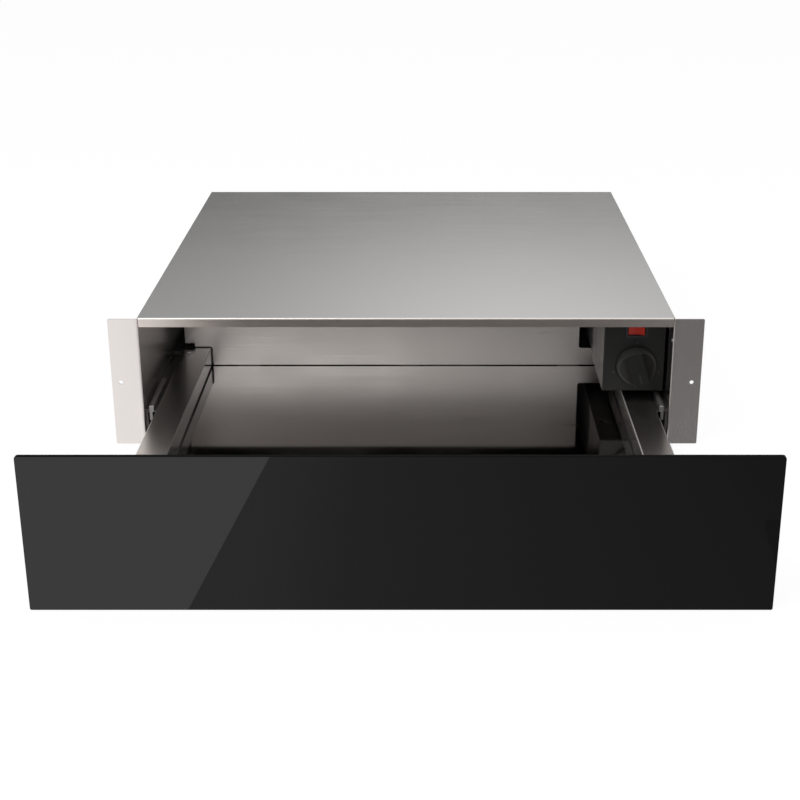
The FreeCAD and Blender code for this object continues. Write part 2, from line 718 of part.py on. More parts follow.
def control_housing():
    outside = block(BOX_LEFT_X, BOX_RIGHT_X, BOX_FRONT_Y + FASCIA_T, BOX_BACK_Y, BOX_BOTTOM, BOX_TOP)
    hollow = block(
        BOX_LEFT_X + BOX_WALL, BOX_RIGHT_X - BOX_WALL, BOX_FRONT_Y, BOX_BACK_Y - BOX_WALL,
        BOX_BOTTOM + BOX_WALL, BOX_TOP - BOX_WALL)
    housing = outside.cut(hollow)
    passage = block(
        BOX_LEFT_X + PASSAGE_INSET, BOX_RIGHT_X - PASSAGE_INSET, BOX_BACK_Y - 5, BOX_BACK_Y + 1,
        PASSAGE_LOW_Z, PASSAGE_HIGH_Z)
    housing = housing.cut(passage)
    for y in HOUSING_SCREW_Y:
        boss = rod(BOX_RIGHT_X, y, HOUSING_SCREW_Z, BOSS_R, HALF_W - SHEET - BOX_RIGHT_X, X_AXIS)
        housing = join([housing, boss])
        housing = housing.cut(rod(BOX_RIGHT_X - 4, y, HOUSING_SCREW_Z, SCREW_R, 8, X_AXIS))
    return housing


def housing_screws():
    return group([screw_head(HALF_W, y, HOUSING_SCREW_Z, X_AXIS, shank=4.5) for y in HOUSING_SCREW_Y])


def control_fascia():
    plate = block(BOX_LEFT_X, BOX_RIGHT_X, BOX_FRONT_Y, BOX_FRONT_Y + FASCIA_T, BOX_BOTTOM, BOX_TOP)
    plate = plate.makeChamfer(FASCIA_CHAMFER, [e for e in plate.Edges if near(e.BoundBox.YMax, BOX_FRONT_Y)])
    well = rod(DIAL_X, BOX_FRONT_Y, DIAL_Z, WELL_R, WELL_DEPTH, Y_AXIS)
    plate = plate.cut(well)
    plate = plate.cut(rod(DIAL_X, BOX_FRONT_Y - 1, DIAL_Z, DIAL_HOLE_R, 6, Y_AXIS))
    cut_x = SWITCH_CUT_W / 2 + SWITCH_WALL_X
    cut_z = SWITCH_CUT_H / 2 + SWITCH_WALL_Z
    opening = block(
        ROCKER_X - cut_x, ROCKER_X + cut_x, BOX_FRONT_Y - 1, BOX_FRONT_Y + 6,
        ROCKER_Z - cut_z, ROCKER_Z + cut_z)
    return plate.cut(opening)


def switch_frame():
    cut_x = SWITCH_CUT_W / 2
    cut_z = SWITCH_CUT_H / 2
    sleeve = block(
        ROCKER_X - cut_x - SWITCH_WALL_X, ROCKER_X + cut_x + SWITCH_WALL_X,
        BOX_FRONT_Y, BOX_FRONT_Y + SWITCH_DEPTH,
        ROCKER_Z - cut_z - SWITCH_WALL_Z, ROCKER_Z + cut_z + SWITCH_WALL_Z)
    rim = block(
        ROCKER_X - cut_x - FRAME_LIP_X, ROCKER_X + cut_x + FRAME_LIP_X,
        BOX_FRONT_Y - FRAME_LIP_T, BOX_FRONT_Y,
        ROCKER_Z - cut_z - FRAME_LIP_Z, ROCKER_Z + cut_z + FRAME_LIP_Z)
    rim = round_edges(rim, 1.0, lambda e: runs_along(e, Y_AXIS))
    opening = block(
        ROCKER_X - cut_x, ROCKER_X + cut_x, BOX_FRONT_Y - 2, BOX_FRONT_Y + SWITCH_DEPTH + 1,
        ROCKER_Z - cut_z, ROCKER_Z + cut_z)
    return join([sleeve, rim]).cut(opening)


def switch_body():
    half_x = SWITCH_CUT_W / 2 + SWITCH_WALL_X
    half_z = SWITCH_CUT_H / 2 + SWITCH_WALL_Z
    y0 = BOX_FRONT_Y + SWITCH_DEPTH
    y1 = y0 + BODY_DEPTH
    body = block(ROCKER_X - half_x, ROCKER_X + half_x, y0, y1, ROCKER_Z - half_z, ROCKER_Z + half_z)
    tabs = []
    for x in (ROCKER_X - TAB_PITCH, ROCKER_X, ROCKER_X + TAB_PITCH):
        tabs.append(block(
            x - TAB_HALF_W, x + TAB_HALF_W, y1, y1 + TAB_LENGTH,
            ROCKER_Z - TAB_HALF_T, ROCKER_Z + TAB_HALF_T))
    return join([body] + tabs)


ROCKER_PIVOT_Y = BOX_FRONT_Y + 2.0
ROCKER_REST_TILT = -5.0


def rocker():
    """Rocker with a shallow V face, in its pressed state at the left; it tips about a vertical axis."""
    half = ROCKER_W / 2
    profile = [
        (-half, -2.4), (0.0, -1.0), (half, -2.4), (half - 0.6, 3.2),
        (3.0, 6.5), (-3.0, 6.5), (-half + 0.6, 3.2)]
    points = [(ROCKER_X + x, ROCKER_PIVOT_Y + y) for x, y in profile]
    body = plate_xy(points, ROCKER_Z - ROCKER_H / 2, ROCKER_H)
    body = round_edges(body, 0.5, lambda e: runs_along(e, Z_AXIS))
    return body.rotated(vec(ROCKER_X, ROCKER_PIVOT_Y, ROCKER_Z), Z_AXIS, ROCKER_REST_TILT)


KNOB_FRONT_Y = BOX_FRONT_Y - 14.0
KNOB_BACK_Y = BOX_FRONT_Y + 0.5
KNOB_SKIRT_Y = BOX_FRONT_Y - 4.0
SHAFT_R = 3.0
POINTER_HALF = 0.7
POINTER_DEPTH = 0.5
POINTER_IN = 6.0
POINTER_OUT = 16.0
KNOB_TOP_R = DIAL_R - 2.6
KNOB_LOW_R = DIAL_R - 0.6
SCOOP_R = 26.0
SCOOP_OVER = 24.4
GRIP_HALF = 3.4


def dial_knob():
    """Round knob scooped away on both sides, so that a grip bar is left across it."""
    skirt = rod(DIAL_X, KNOB_SKIRT_Y, DIAL_Z, DIAL_R, KNOB_BACK_Y - KNOB_SKIRT_Y, Y_AXIS)
    cone = Part.makeCone(
        KNOB_TOP_R, KNOB_LOW_R, KNOB_SKIRT_Y - KNOB_FRONT_Y, vec(DIAL_X, KNOB_FRONT_Y, DIAL_Z), Y_AXIS)
    body = join([skirt, cone])
    reach = 3 * DIAL_R
    above_skirt = block(
        DIAL_X - reach, DIAL_X + reach, KNOB_FRONT_Y - reach, KNOB_SKIRT_Y, DIAL_Z - reach, DIAL_Z + reach)
    for side in (-1, 1):
        centre_x = DIAL_X + side * (GRIP_HALF + SCOOP_R)
        centre_y = KNOB_SKIRT_Y - SCOOP_OVER
        scoop = rod(centre_x, centre_y, DIAL_Z - 2 * DIAL_R, SCOOP_R, DIAL_R * 4, Z_AXIS)
        body = body.cut(scoop.common(above_skirt))
    body = body.cut(rod(DIAL_X, KNOB_BACK_Y - 10, DIAL_Z, SHAFT_R + 0.02, 12, Y_AXIS))
    groove = block(
        DIAL_X - POINTER_HALF, DIAL_X + POINTER_HALF, KNOB_FRONT_Y - 1, KNOB_FRONT_Y + POINTER_DEPTH,
        DIAL_Z - POINTER_OUT, DIAL_Z - POINTER_IN)
    body = body.cut(groove)
    return body.rotated(vec(DIAL_X, BOX_FRONT_Y, DIAL_Z), Y_AXIS, DIAL_TILT)


def knob_pointer():
    mark = block(
        DIAL_X - POINTER_HALF, DIAL_X + POINTER_HALF, KNOB_FRONT_Y, KNOB_FRONT_Y + POINTER_DEPTH,
        DIAL_Z - POINTER_OUT, DIAL_Z - POINTER_IN)
    return mark.rotated(vec(DIAL_X, BOX_FRONT_Y, DIAL_Z), Y_AXIS, DIAL_TILT)


STAT_HALF = 19.0
STAT_FRONT = 7.0
STAT_BACK = 33.0
STAT_CORNER_R = 3.0
BUSH_R = 7.0
SHAFT_FRONT = 6.5
BULB_LINE_R = 1.0
BULB_R = 3.2
BULB_LENGTH = 60.0
BULB_FRONT_Y = 150.0
BULB_SHIFT_X = -8.0
BULB_SHIFT_Z = 6.0


def thermostat():
    y0 = BOX_FRONT_Y + STAT_FRONT
    y1 = BOX_FRONT_Y + STAT_BACK
    bush_y = BOX_FRONT_Y + FASCIA_T
    shaft_y = BOX_FRONT_Y - SHAFT_FRONT
    body = block(
        DIAL_X - STAT_HALF, DIAL_X + STAT_HALF, y0, y1, DIAL_Z - STAT_HALF, DIAL_Z + STAT_HALF)
    body = round_edges(body, STAT_CORNER_R, lambda e: runs_along(e, Y_AXIS))
    bush = rod(DIAL_X, bush_y, DIAL_Z, BUSH_R, y0 - bush_y, Y_AXIS)
    shaft = rod(DIAL_X, shaft_y, DIAL_Z, SHAFT_R, y0 - shaft_y, Y_AXIS)
    return join([body, bush, shaft])


def thermostat_bulb():
    x = DIAL_X + BULB_SHIFT_X
    z = DIAL_Z + BULB_SHIFT_Z
    start_y = BOX_FRONT_Y + STAT_BACK
    line = rod(x, start_y, z, BULB_LINE_R, BULB_FRONT_Y - start_y, Y_AXIS)
    bulb = rod(x, BULB_FRONT_Y, z, BULB_R, BULB_LENGTH, Y_AXIS)
    return join([line, bulb])


DUCT_LEFT_X = 202.0
DUCT_BOTTOM = 50.0
DUCT_TOP = 119.5
DUCT_BACK_Y = 222.0
DUCT_WALL = 1.5
LOUVRES = 14
LOUVRE_W = 3.0
LOUVRE_PITCH = 6.5
FIRST_LOUVRE = 8.0
LOUVRE_BOTTOM = 54.0
LOUVRE_TOP = 100.0


def wiring_duct():
    """Channel on the case side from the housing to the rear, open to the case side, with air slots."""
    wall_x = HALF_W - SHEET
    outside = block(DUCT_LEFT_X, wall_x, BOX_BACK_Y, DUCT_BACK_Y, DUCT_BOTTOM, DUCT_TOP)
    hollow = block(
        DUCT_LEFT_X + DUCT_WALL, wall_x + 1, BOX_BACK_Y - 1, DUCT_BACK_Y + 1,
        DUCT_BOTTOM + DUCT_WALL, DUCT_TOP - DUCT_WALL)
    duct = outside.cut(hollow)
    for i in range(LOUVRES):
        y = BOX_BACK_Y + FIRST_LOUVRE + i * LOUVRE_PITCH
        slot = block(DUCT_LEFT_X - 1, DUCT_LEFT_X + 3, y, y + LOUVRE_W, LOUVRE_BOTTOM, LOUVRE_TOP)
        duct = duct.cut(slot)
    return duct


# ---------------------------------------------------------------- heating, air, latch, mains

REFLECTOR_HALF_X = 190.0
REFLECTOR_FRONT_Y = -205.0
REFLECTOR_BACK_Y = 175.0
ELEMENT_FRONT_Y = -170.0
ELEMENT_BACK_Y = 130.0
ELEMENT_RUN_X = (-150.0, -90.0, -30.0, 30.0, 90.0, 150.0)
ELEMENT_END_Y = 190.0
CUTOUT_X = -200.0
CUTOUT_Y = 200.0
FOIL = 0.5
FOIL_EDGE_TOP = 7.0
CLIP_Y = (-100.0, 80.0)
CLIP_HALF_Y = 4.0
CLIP_SHEET = 0.8
CLIP_FOOT_X = 9.0
CLIP_POST_X = 1.5
END_R = 3.9
END_LENGTH = 10.0
END_TAB_HALF_X = 3.1
END_TAB_HALF_Z = 0.4
CUTOUT_FLANGE_R = 11.0
CUTOUT_DISC_R = 8.0
CUTOUT_DISC_H = 5.0
CUTOUT_TAB_X = 5.0
CUTOUT_TAB_H = 4.0


def heat_reflector():
    half = REFLECTOR_HALF_X
    sheet = block(-half, half, REFLECTOR_FRONT_Y, REFLECTOR_BACK_Y, SHEET, SHEET + FOIL)
    edge = block(-half, -half + FOIL, REFLECTOR_FRONT_Y, REFLECTOR_BACK_Y, SHEET + FOIL, FOIL_EDGE_TOP)
    return join([sheet, edge, mirror_x(edge)])


def element_path():
    """Centre line of the tubular element: long runs joined by half turns, both ends at the back."""
    runs = ELEMENT_RUN_X
    radius = (runs[1] - runs[0]) / 2
    edges = []
    for i, x in enumerate(runs):
        low = ELEMENT_FRONT_Y
        high = ELEMENT_BACK_Y if 0 < i < len(runs) - 1 else ELEMENT_END_Y
        start, end = (high, low) if i % 2 == 0 else (low, high)
        edges.append(Part.LineSegment(vec(x, start, TUBE_Z), vec(x, end, TUBE_Z)).toShape())
        if i < len(runs) - 1:
            bulge = -radius if i % 2 == 0 else radius
            turn_y = low if i % 2 == 0 else ELEMENT_BACK_Y
            middle = vec(x + radius, turn_y + bulge, TUBE_Z)
            arc = Part.Arc(vec(x, turn_y, TUBE_Z), middle, vec(x + 2 * radius, turn_y, TUBE_Z))
            edges.append(arc.toShape())
    return Part.Wire(edges)


def heating_element():
    path = element_path()
    start = path.Edges[0].Vertexes[0].Point
    circle = Part.Wire(Part.Circle(start, Y_AXIS, TUBE_D / 2).toShape())
    tube = Part.BRepOffsetAPI.MakePipeShell(path)
    tube.add(circle)
    tube.build()
    tube.makeSolid()
    return tube.shape()


def element_clips():
    clips = []
    foot_z = SHEET + FOIL
    for x in ELEMENT_RUN_X:
        for y in CLIP_Y:
            y0 = y - CLIP_HALF_Y
            y1 = y + CLIP_HALF_Y
            strap = rod(x, y0, TUBE_Z, TUBE_D / 2 + CLIP_SHEET, y1 - y0, Y_AXIS)
            foot = block(x - CLIP_FOOT_X, x + CLIP_FOOT_X, y0, y1, foot_z, foot_z + SHEET)
            post = block(x - CLIP_POST_X, x + CLIP_POST_X, y0, y1, foot_z + SHEET, TUBE_Z)
            tube = rod(x, y0 - 1, TUBE_Z, TUBE_D / 2, y1 - y0 + 2, Y_AXIS)
            clips.append(join([strap, foot, post]).cut(tube))
    return group(clips)


def element_ends():
    ends = []
    for x in (ELEMENT_RUN_X[0], ELEMENT_RUN_X[-1]):
        y1 = ELEMENT_END_Y + END_LENGTH
        ceramic = rod(x, ELEMENT_END_Y, TUBE_Z, END_R, END_LENGTH, Y_AXIS)
        tab = block(
            x - END_TAB_HALF_X, x + END_TAB_HALF_X, y1, y1 + END_LENGTH,
            TUBE_Z - END_TAB_HALF_Z, TUBE_Z + END_TAB_HALF_Z)
        ends.append(join([ceramic, tab]))
    return group(ends)


def thermal_cutout():
    x = CUTOUT_X
    y = CUTOUT_Y
    tab_z = SHEET + CUTOUT_DISC_H
    flange = rod(x, y, SHEET, CUTOUT_FLANGE_R, SHEET, Z_AXIS)
    disc = rod(x, y, SHEET, CUTOUT_DISC_R, CUTOUT_DISC_H, Z_AXIS)
    tabs = []
    for tab_x in (x - CUTOUT_TAB_X, x + CUTOUT_TAB_X):
        tabs.append(block(tab_x - 1.5, tab_x + 1.5, y - 2, y + 2, tab_z, tab_z + CUTOUT_TAB_H))
    return join([flange, disc] + tabs)


FAN_MARGIN = 3.0
FAN_CORNER_R = 4.0
FAN_ARM_T = 3.0
FAN_ARM_HALF_W = 2.0
FAN_HUB_R = 15.0
FAN_FOOT_HALF = 6.0
MOTOR_R = 11.0
MOTOR_T = 7.0
SPINDLE_R = 1.5
CUP_R = 14.0
CUP_BORE_R = 12.0
CUP_DEPTH = 15.0
CUP_FLOOR_T = 4.0
BLADES = 7
BLADE_TILT = 38.0
BLADE_HALF_H = 7.0
BLADE_T = 1.5
BLADE_Y = 6.5
TIP_CLEAR = 1.5


def fan_frame():
    """Square fan housing with a round passage and a four armed hub that carries the motor."""
    half = FAN_R + FAN_MARGIN
    y0 = FAN_BACK_Y - FAN_T
    frame = block(FAN_X - half, FAN_X + half, y0, FAN_BACK_Y, FAN_Z - half, FAN_Z + half)
    frame = round_edges(frame, FAN_CORNER_R, lambda e: runs_along(e, Y_AXIS))
    frame = frame.cut(rod(FAN_X, y0 - 1, FAN_Z, FAN_R, FAN_T + 2, Y_AXIS))
    arms = []
    for angle in (45, 135, 225, 315):
        arm = block(
            FAN_X, FAN_X + FAN_R + 1, FAN_BACK_Y - FAN_ARM_T, FAN_BACK_Y,
            FAN_Z - FAN_ARM_HALF_W, FAN_Z + FAN_ARM_HALF_W)
        arms.append(arm.rotated(vec(FAN_X, FAN_BACK_Y, FAN_Z), Y_AXIS, angle))
    hub = rod(FAN_X, FAN_BACK_Y - FAN_ARM_T, FAN_Z, FAN_HUB_R, FAN_ARM_T, Y_AXIS)
    feet = []
    foot = FAN_FOOT_HALF
    for x in (FAN_X - half + foot, FAN_X + half - foot):
        for z in (FAN_Z - half + foot, FAN_Z + half - foot):
            feet.append(block(x - foot, x + foot, FAN_BACK_Y, BACK_Y - SHEET, z - foot, z + foot))
    return join([frame, hub] + arms + feet)


def fan_motor():
    can_y = FAN_BACK_Y - FAN_ARM_T - MOTOR_T
    spindle_y = FAN_BACK_Y - FAN_T + 2
    can = rod(FAN_X, can_y, FAN_Z, MOTOR_R, MOTOR_T, Y_AXIS)
    spindle = rod(FAN_X, spindle_y, FAN_Z, SPINDLE_R, can_y - spindle_y, Y_AXIS)
    return join([can, spindle])


def fan_rotor():
    y0 = FAN_BACK_Y - FAN_T + 1.0
    cup = rod(FAN_X, y0, FAN_Z, CUP_R, CUP_DEPTH, Y_AXIS)
    cup = cup.cut(rod(FAN_X, y0 + CUP_FLOOR_T, FAN_Z, CUP_BORE_R, CUP_DEPTH, Y_AXIS))
    cup = cup.cut(rod(FAN_X, y0 - 1, FAN_Z, SPINDLE_R + 0.05, 2 * CUP_FLOOR_T, Y_AXIS))
    blade_y = y0 + BLADE_Y
    blades = []
    for i in range(BLADES):
        blade = block(
            FAN_X + CUP_R - 0.8, FAN_X + FAN_R - TIP_CLEAR, blade_y, blade_y + BLADE_T,
            FAN_Z - BLADE_HALF_H, FAN_Z + BLADE_HALF_H)
        blade = blade.rotated(vec(FAN_X, blade_y + BLADE_T / 2, FAN_Z), X_AXIS, BLADE_TILT)
        blades.append(blade.rotated(vec(FAN_X, y0, FAN_Z), Y_AXIS, i * 360.0 / BLADES))
    return join([cup] + blades)


LATCH_FRONT_Y = 234.0
PLUNGER_R = 4.0
PLUNGER_CLEAR = 0.5
PLUNGER_INSIDE = 14.0
PLUNGER_PLAY = 0.1
LATCH_HALF_X = 14.0
LATCH_HALF_Z = 10.0
LATCH_CORNER_R = 2.0
EAR_HALF_X = 26.0
EAR_HALF_Z = 8.0
EAR_T = 3.0


def latch_housing():
    wall_y = BACK_Y - SHEET
    body = block(
        -LATCH_HALF_X, LATCH_HALF_X, LATCH_FRONT_Y, wall_y, LATCH_Z - LATCH_HALF_Z, LATCH_Z + LATCH_HALF_Z)
    body = round_edges(body, LATCH_CORNER_R, lambda e: runs_along(e, Y_AXIS))
    ears = block(
        -EAR_HALF_X, EAR_HALF_X, wall_y - EAR_T, wall_y, LATCH_Z - EAR_HALF_Z, LATCH_Z + EAR_HALF_Z)
    bore_depth = PLUNGER_INSIDE + PLUNGER_TRAVEL + 1.5
    bore = rod(0, LATCH_FRONT_Y - 1, LATCH_Z, PLUNGER_R + PLUNGER_PLAY, bore_depth + 1, Y_AXIS)
    return join([body, ears]).cut(bore)


def latch_plunger():
    tip_y = BACK_REAR_Y + STRIKER_T + OPEN_TRAVEL + PLUNGER_CLEAR
    stem = rod(0, tip_y, LATCH_Z, PLUNGER_R, LATCH_FRONT_Y + PLUNGER_INSIDE - tip_y, Y_AXIS)
    return stem.makeChamfer(1.0, [e for e in stem.Edges if near(e.BoundBox.YMax, tip_y)])


TERMINAL_X = 187.0
TERMINAL_Z = 73.0
TERMINAL_FRONT_Y = 226.0
TERMINAL_BACK_Y = 246.0
TERMINAL_HALF_X = 17.0
TERMINAL_HALF_Z = 11.0
TERMINAL_WALL = 3.0
TERMINAL_DEPTH = 7.0
TERMINAL_FOOT_X = 21.0
TERMINAL_FOOT_Z = 9.0
PIN_PITCH = 8.0
PIN_R = 2.6
PIN_INSET = 0.5


def terminal_block():
    x = TERMINAL_X
    z = TERMINAL_Z
    y0 = TERMINAL_FRONT_Y
    in_x = TERMINAL_HALF_X - TERMINAL_WALL
    in_z = TERMINAL_HALF_Z - TERMINAL_WALL
    base = block(
        x - TERMINAL_HALF_X, x + TERMINAL_HALF_X, y0, TERMINAL_BACK_Y,
        z - TERMINAL_HALF_Z, z + TERMINAL_HALF_Z)
    base = base.cut(block(x - in_x, x + in_x, y0 - 1, y0 + TERMINAL_DEPTH, z - in_z, z + in_z))
    foot = block(
        x - TERMINAL_FOOT_X, x + TERMINAL_FOOT_X, TERMINAL_BACK_Y, BACK_Y - SHEET,
        z - TERMINAL_FOOT_Z, z + TERMINAL_FOOT_Z)
    pins = []
    for pin_x in (x - PIN_PITCH, x, x + PIN_PITCH):
        pins.append(rod(pin_x, y0 + PIN_INSET, z, PIN_R, TERMINAL_DEPTH, Y_AXIS))
    return join([base, foot] + pins)


# ---------------------------------------------------------------- write the nodes

def all_nodes():
    top, ears = case_top()
    nodes = {
        "case_floor": case_floor(),
        "case_left_side": case_side(-1),
        "case_right_side": case_side(1),
        "case_top": top,
        "top_ears": ears,
        "case_back": case_back(),
        "cable_gland": cable_gland(),
        "case_screws": case_screws(),
        "side_rivet": side_rivet(),
        "rail_screws": rail_screws(),
        "open_stops": open_stops(),
        "stop_pads": stop_pads(),
        "stop_lugs": stop_lugs(),
        "drawer_floor": drawer_floor(),
        "drawer_back": drawer_back(),
        "back_brackets": back_brackets(),
        "front_carrier": front_carrier(),
        "glass_glue": glass_glue(),
        "glass_front": glass_front(),
        "front_buffers": front_buffers(),
        "carrier_brackets": carrier_brackets(),
        "drawer_screws": drawer_screws(),
        "latch_striker": latch_striker(),
        "control_housing": control_housing(),
        "housing_screws": housing_screws(),
        "control_fascia": control_fascia(),
        "switch_frame": switch_frame(),
        "switch_body": switch_body(),
        "rocker": rocker(),
        "dial_knob": dial_knob(),
        "knob_pointer": knob_pointer(),
        "thermostat": thermostat(),
        "thermostat_bulb": thermostat_bulb(),
        "wiring_duct": wiring_duct(),
        "heat_reflector": heat_reflector(),
        "heating_element": heating_element(),
        "element_clips": element_clips(),
        "element_ends": element_ends(),
        "thermal_cutout": thermal_cutout(),
        "fan_frame": fan_frame(),
        "fan_motor": fan_motor(),
        "fan_rotor": fan_rotor(),
        "latch_housing": latch_housing(),
        "latch_plunger": latch_plunger(),
        "terminal_block": terminal_block(),
    }
    for name, sign in (("left", -1), ("right", 1)):
        nodes[name + "_outer_rail"] = outer_rail(sign)
        nodes[name + "_drawer_guide"] = drawer_guide(sign)
        nodes[name + "_inner_rail"] = inner_rail(sign)
        nodes[name + "_ball_cage"] = ball_cage(sign)
        nodes[name + "_balls"] = balls(sign)
        nodes["drawer_" + name + "_side"] = drawer_side(sign)
    return nodes


os.makedirs("parts", exist_ok=True)
for node_name, node_shape in all_nodes().items():
    if not node_shape.isValid():
        print("invalid shape:", node_name)
    node_shape.exportStep("parts/" + node_name + ".step")
    print(node_name, len(node_shape.Solids), round(node_shape.Volume / 1000.0, 2))
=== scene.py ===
import math

import bpy
import bmesh
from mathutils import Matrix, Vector

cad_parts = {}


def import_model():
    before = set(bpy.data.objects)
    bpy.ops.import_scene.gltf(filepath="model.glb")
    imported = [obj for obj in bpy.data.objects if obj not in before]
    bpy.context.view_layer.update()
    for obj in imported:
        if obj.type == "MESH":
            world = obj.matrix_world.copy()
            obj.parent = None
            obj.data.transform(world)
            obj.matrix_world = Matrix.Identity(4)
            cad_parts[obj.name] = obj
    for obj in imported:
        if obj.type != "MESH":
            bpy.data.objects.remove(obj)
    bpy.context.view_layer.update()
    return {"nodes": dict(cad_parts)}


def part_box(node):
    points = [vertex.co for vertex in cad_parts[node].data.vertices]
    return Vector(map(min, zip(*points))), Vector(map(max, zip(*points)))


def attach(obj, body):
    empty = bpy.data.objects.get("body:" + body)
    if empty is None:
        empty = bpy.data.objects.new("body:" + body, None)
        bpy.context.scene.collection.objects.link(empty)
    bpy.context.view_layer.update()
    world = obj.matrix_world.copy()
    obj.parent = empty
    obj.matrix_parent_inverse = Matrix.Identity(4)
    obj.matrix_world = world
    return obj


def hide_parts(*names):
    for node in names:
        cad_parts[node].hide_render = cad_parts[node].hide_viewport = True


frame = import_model()
nodes = frame["nodes"]

# The camera stands before the open drawer and looks down on it
CAMERA_PLACE = (0.0202, -1.599, 0.5859)
CAMERA_TILT = math.radians(69.71)
LENS = 64.55
SENSOR = 36.0
IMAGE_SIZE = 800.0
AXIS_PIXEL_X = 426.5
AXIS_PIXEL_Y = 360.9


# ---------------------------------------------------------------- node helpers

class Surface:
    """A material with a Principled shader, and short calls for the nodes that feed it."""

    def __init__(self, name, roughness, metallic=0.0, **sockets):
        self.material = bpy.data.materials.new(name)
        self.material.use_nodes = True
        self.tree = self.material.node_tree
        self.shader = self.tree.nodes["Principled BSDF"]
        self.set("Roughness", roughness)
        self.set("Metallic", metallic)
        for socket, value in sockets.items():
            self.set(socket.replace("_", " "), value)
        self.place = self.add("ShaderNodeTexCoord").outputs["Object"]

    def add(self, kind, **settings):
        node = self.tree.nodes.new(kind)
        for key, value in settings.items():
            setattr(node, key, value)
        return node

    def set(self, socket, value):
        self.shader.inputs[socket].default_value = value

    def link(self, source, target):
        self.tree.links.new(source, target)

    def scaled(self, scale):
        """The place times a scale, which is one number or one for each axis."""
        if isinstance(scale, float):
            scale = (scale, scale, scale)
        mapping = self.add("ShaderNodeMapping")
        mapping.inputs["Scale"].default_value = scale
        self.link(self.place, mapping.inputs["Vector"])
        return mapping.outputs["Vector"]

    def noise(self, scale, detail=2.0, rough=0.5):
        """Noise between 0 and 1; scale is in cycles per metre, alike or along X, Y and Z."""
        node = self.add("ShaderNodeTexNoise")
        node.inputs["Scale"].default_value = 1.0
        node.inputs["Detail"].default_value = detail
        node.inputs["Roughness"].default_value = rough
        self.link(self.scaled(scale), node.inputs["Vector"])
        return node.outputs["Fac"]

    def cells(self, scale):
        node = self.add("ShaderNodeTexVoronoi")
        node.inputs["Scale"].default_value = 1.0
        self.link(self.scaled(scale), node.inputs["Vector"])
        return node.outputs["Distance"]

    def inside(self, axis, low, high, edge=0.0001):
        """One where the place lies between low and high along an axis, zero outside."""
        split = self.add("ShaderNodeSeparateXYZ")
        self.link(self.place, split.inputs["Vector"])
        above = self.spread(split.outputs[axis], 0.0, 1.0, start=low - edge, end=low)
        below = self.spread(split.outputs[axis], 1.0, 0.0, start=high, end=high + edge)
        return self.sum(above, below, "MULTIPLY")

    def beyond(self, x, z, radius, edge=0.0003):
        """One further than the radius from an axis that runs along Y through X, Z; zero within."""
        mapping = self.add("ShaderNodeMapping")
        mapping.inputs["Location"].default_value = (-x, 0.0, -z)
        mapping.inputs["Scale"].default_value = (1.0, 0.0, 1.0)
        self.link(self.place, mapping.inputs["Vector"])
        length = self.add("ShaderNodeVectorMath", operation="LENGTH")
        self.link(mapping.outputs["Vector"], length.inputs["Vector"])
        return self.spread(length.outputs["Value"], 0.0, 1.0, start=radius - edge, end=radius)

    def pick(self, mask, value, other):
        """The second value where the mask is one, the first elsewhere."""
        node = self.add("ShaderNodeMix", data_type="FLOAT")
        self.link(mask, node.inputs["Factor"])
        for socket, source in ((node.inputs["A"], value), (node.inputs["B"], other)):
            if isinstance(source, float):
                socket.default_value = source
            else:
                self.link(source, socket)
        return node.outputs["Result"]

    def spread(self, value, low, high, start=0.3, end=0.7):
        """Maps a noise value that runs from start to end onto low to high."""
        node = self.add("ShaderNodeMapRange")
        node.inputs["From Min"].default_value = start
        node.inputs["From Max"].default_value = end
        node.inputs["To Min"].default_value = low
        node.inputs["To Max"].default_value = high
        self.link(value, node.inputs["Value"])
        return node.outputs["Result"]

    def sum(self, first, second, operation="ADD"):
        """Two values, each a number or a node's output, brought together by a math node."""
        node = self.add("ShaderNodeMath", operation=operation)
        for socket, value in zip(node.inputs, (first, second)):
            if isinstance(value, float):
                socket.default_value = value
            else:
                self.link(value, socket)
        return node.outputs["Value"]

    def blend_colour(self, value, dark, light):
        node = self.add("ShaderNodeMix", data_type="RGBA")
        node.inputs["A"].default_value = (*dark, 1.0)
        node.inputs["B"].default_value = (*light, 1.0)
        self.link(value, node.inputs["Factor"])
        return node.outputs["Result"]

    def multiply_colour(self, mask, colour, tint):
        node = self.add("ShaderNodeMix", data_type="RGBA", blend_type="MULTIPLY")
        node.inputs["B"].default_value = (*tint, 1.0)
        self.link(colour, node.inputs["A"])
        self.link(mask, node.inputs["Factor"])
        return node.outputs["Result"]

    def colour(self, value, dark, light):
        self.link(self.blend_colour(value, dark, light), self.shader.inputs["Base Color"])

    def mottle(self, noise, colour, depth):
        """The colour, darker and lighter by its depth as the noise goes."""
        self.colour(self.spread(noise, 0.0, 1.0), tinted(colour, 1 - depth), tinted(colour, 1 + depth))

    def vary_roughness(self, noise, middle, depth):
        self.link(self.spread(noise, middle - depth, middle + depth), self.shader.inputs["Roughness"])

    def bump(self, height, strength, distance):
        node = self.add("ShaderNodeBump")
        node.inputs["Strength"].default_value = strength
        node.inputs["Distance"].default_value = distance
        self.link(height, node.inputs["Height"])
        self.link(node.outputs["Normal"], self.shader.inputs["Normal"])


def tinted(colour, factor):
    return tuple(min(channel * factor, 1.0) for channel in colour)


# ---------------------------------------------------------------- materials

GRAIN_LONG = 9.0
GRAIN_FINE = 1500.0
GRAIN_BROAD = 260.0
GRAIN_ROUGHNESS = 0.035
FINE_SHARE = 0.65


def grain_scale(axis, across):
    """Scale of streaks that run along one axis and repeat across it."""
    scale = [across, across, across]
    scale["XYZ".index(axis)] = GRAIN_LONG
    return tuple(scale)


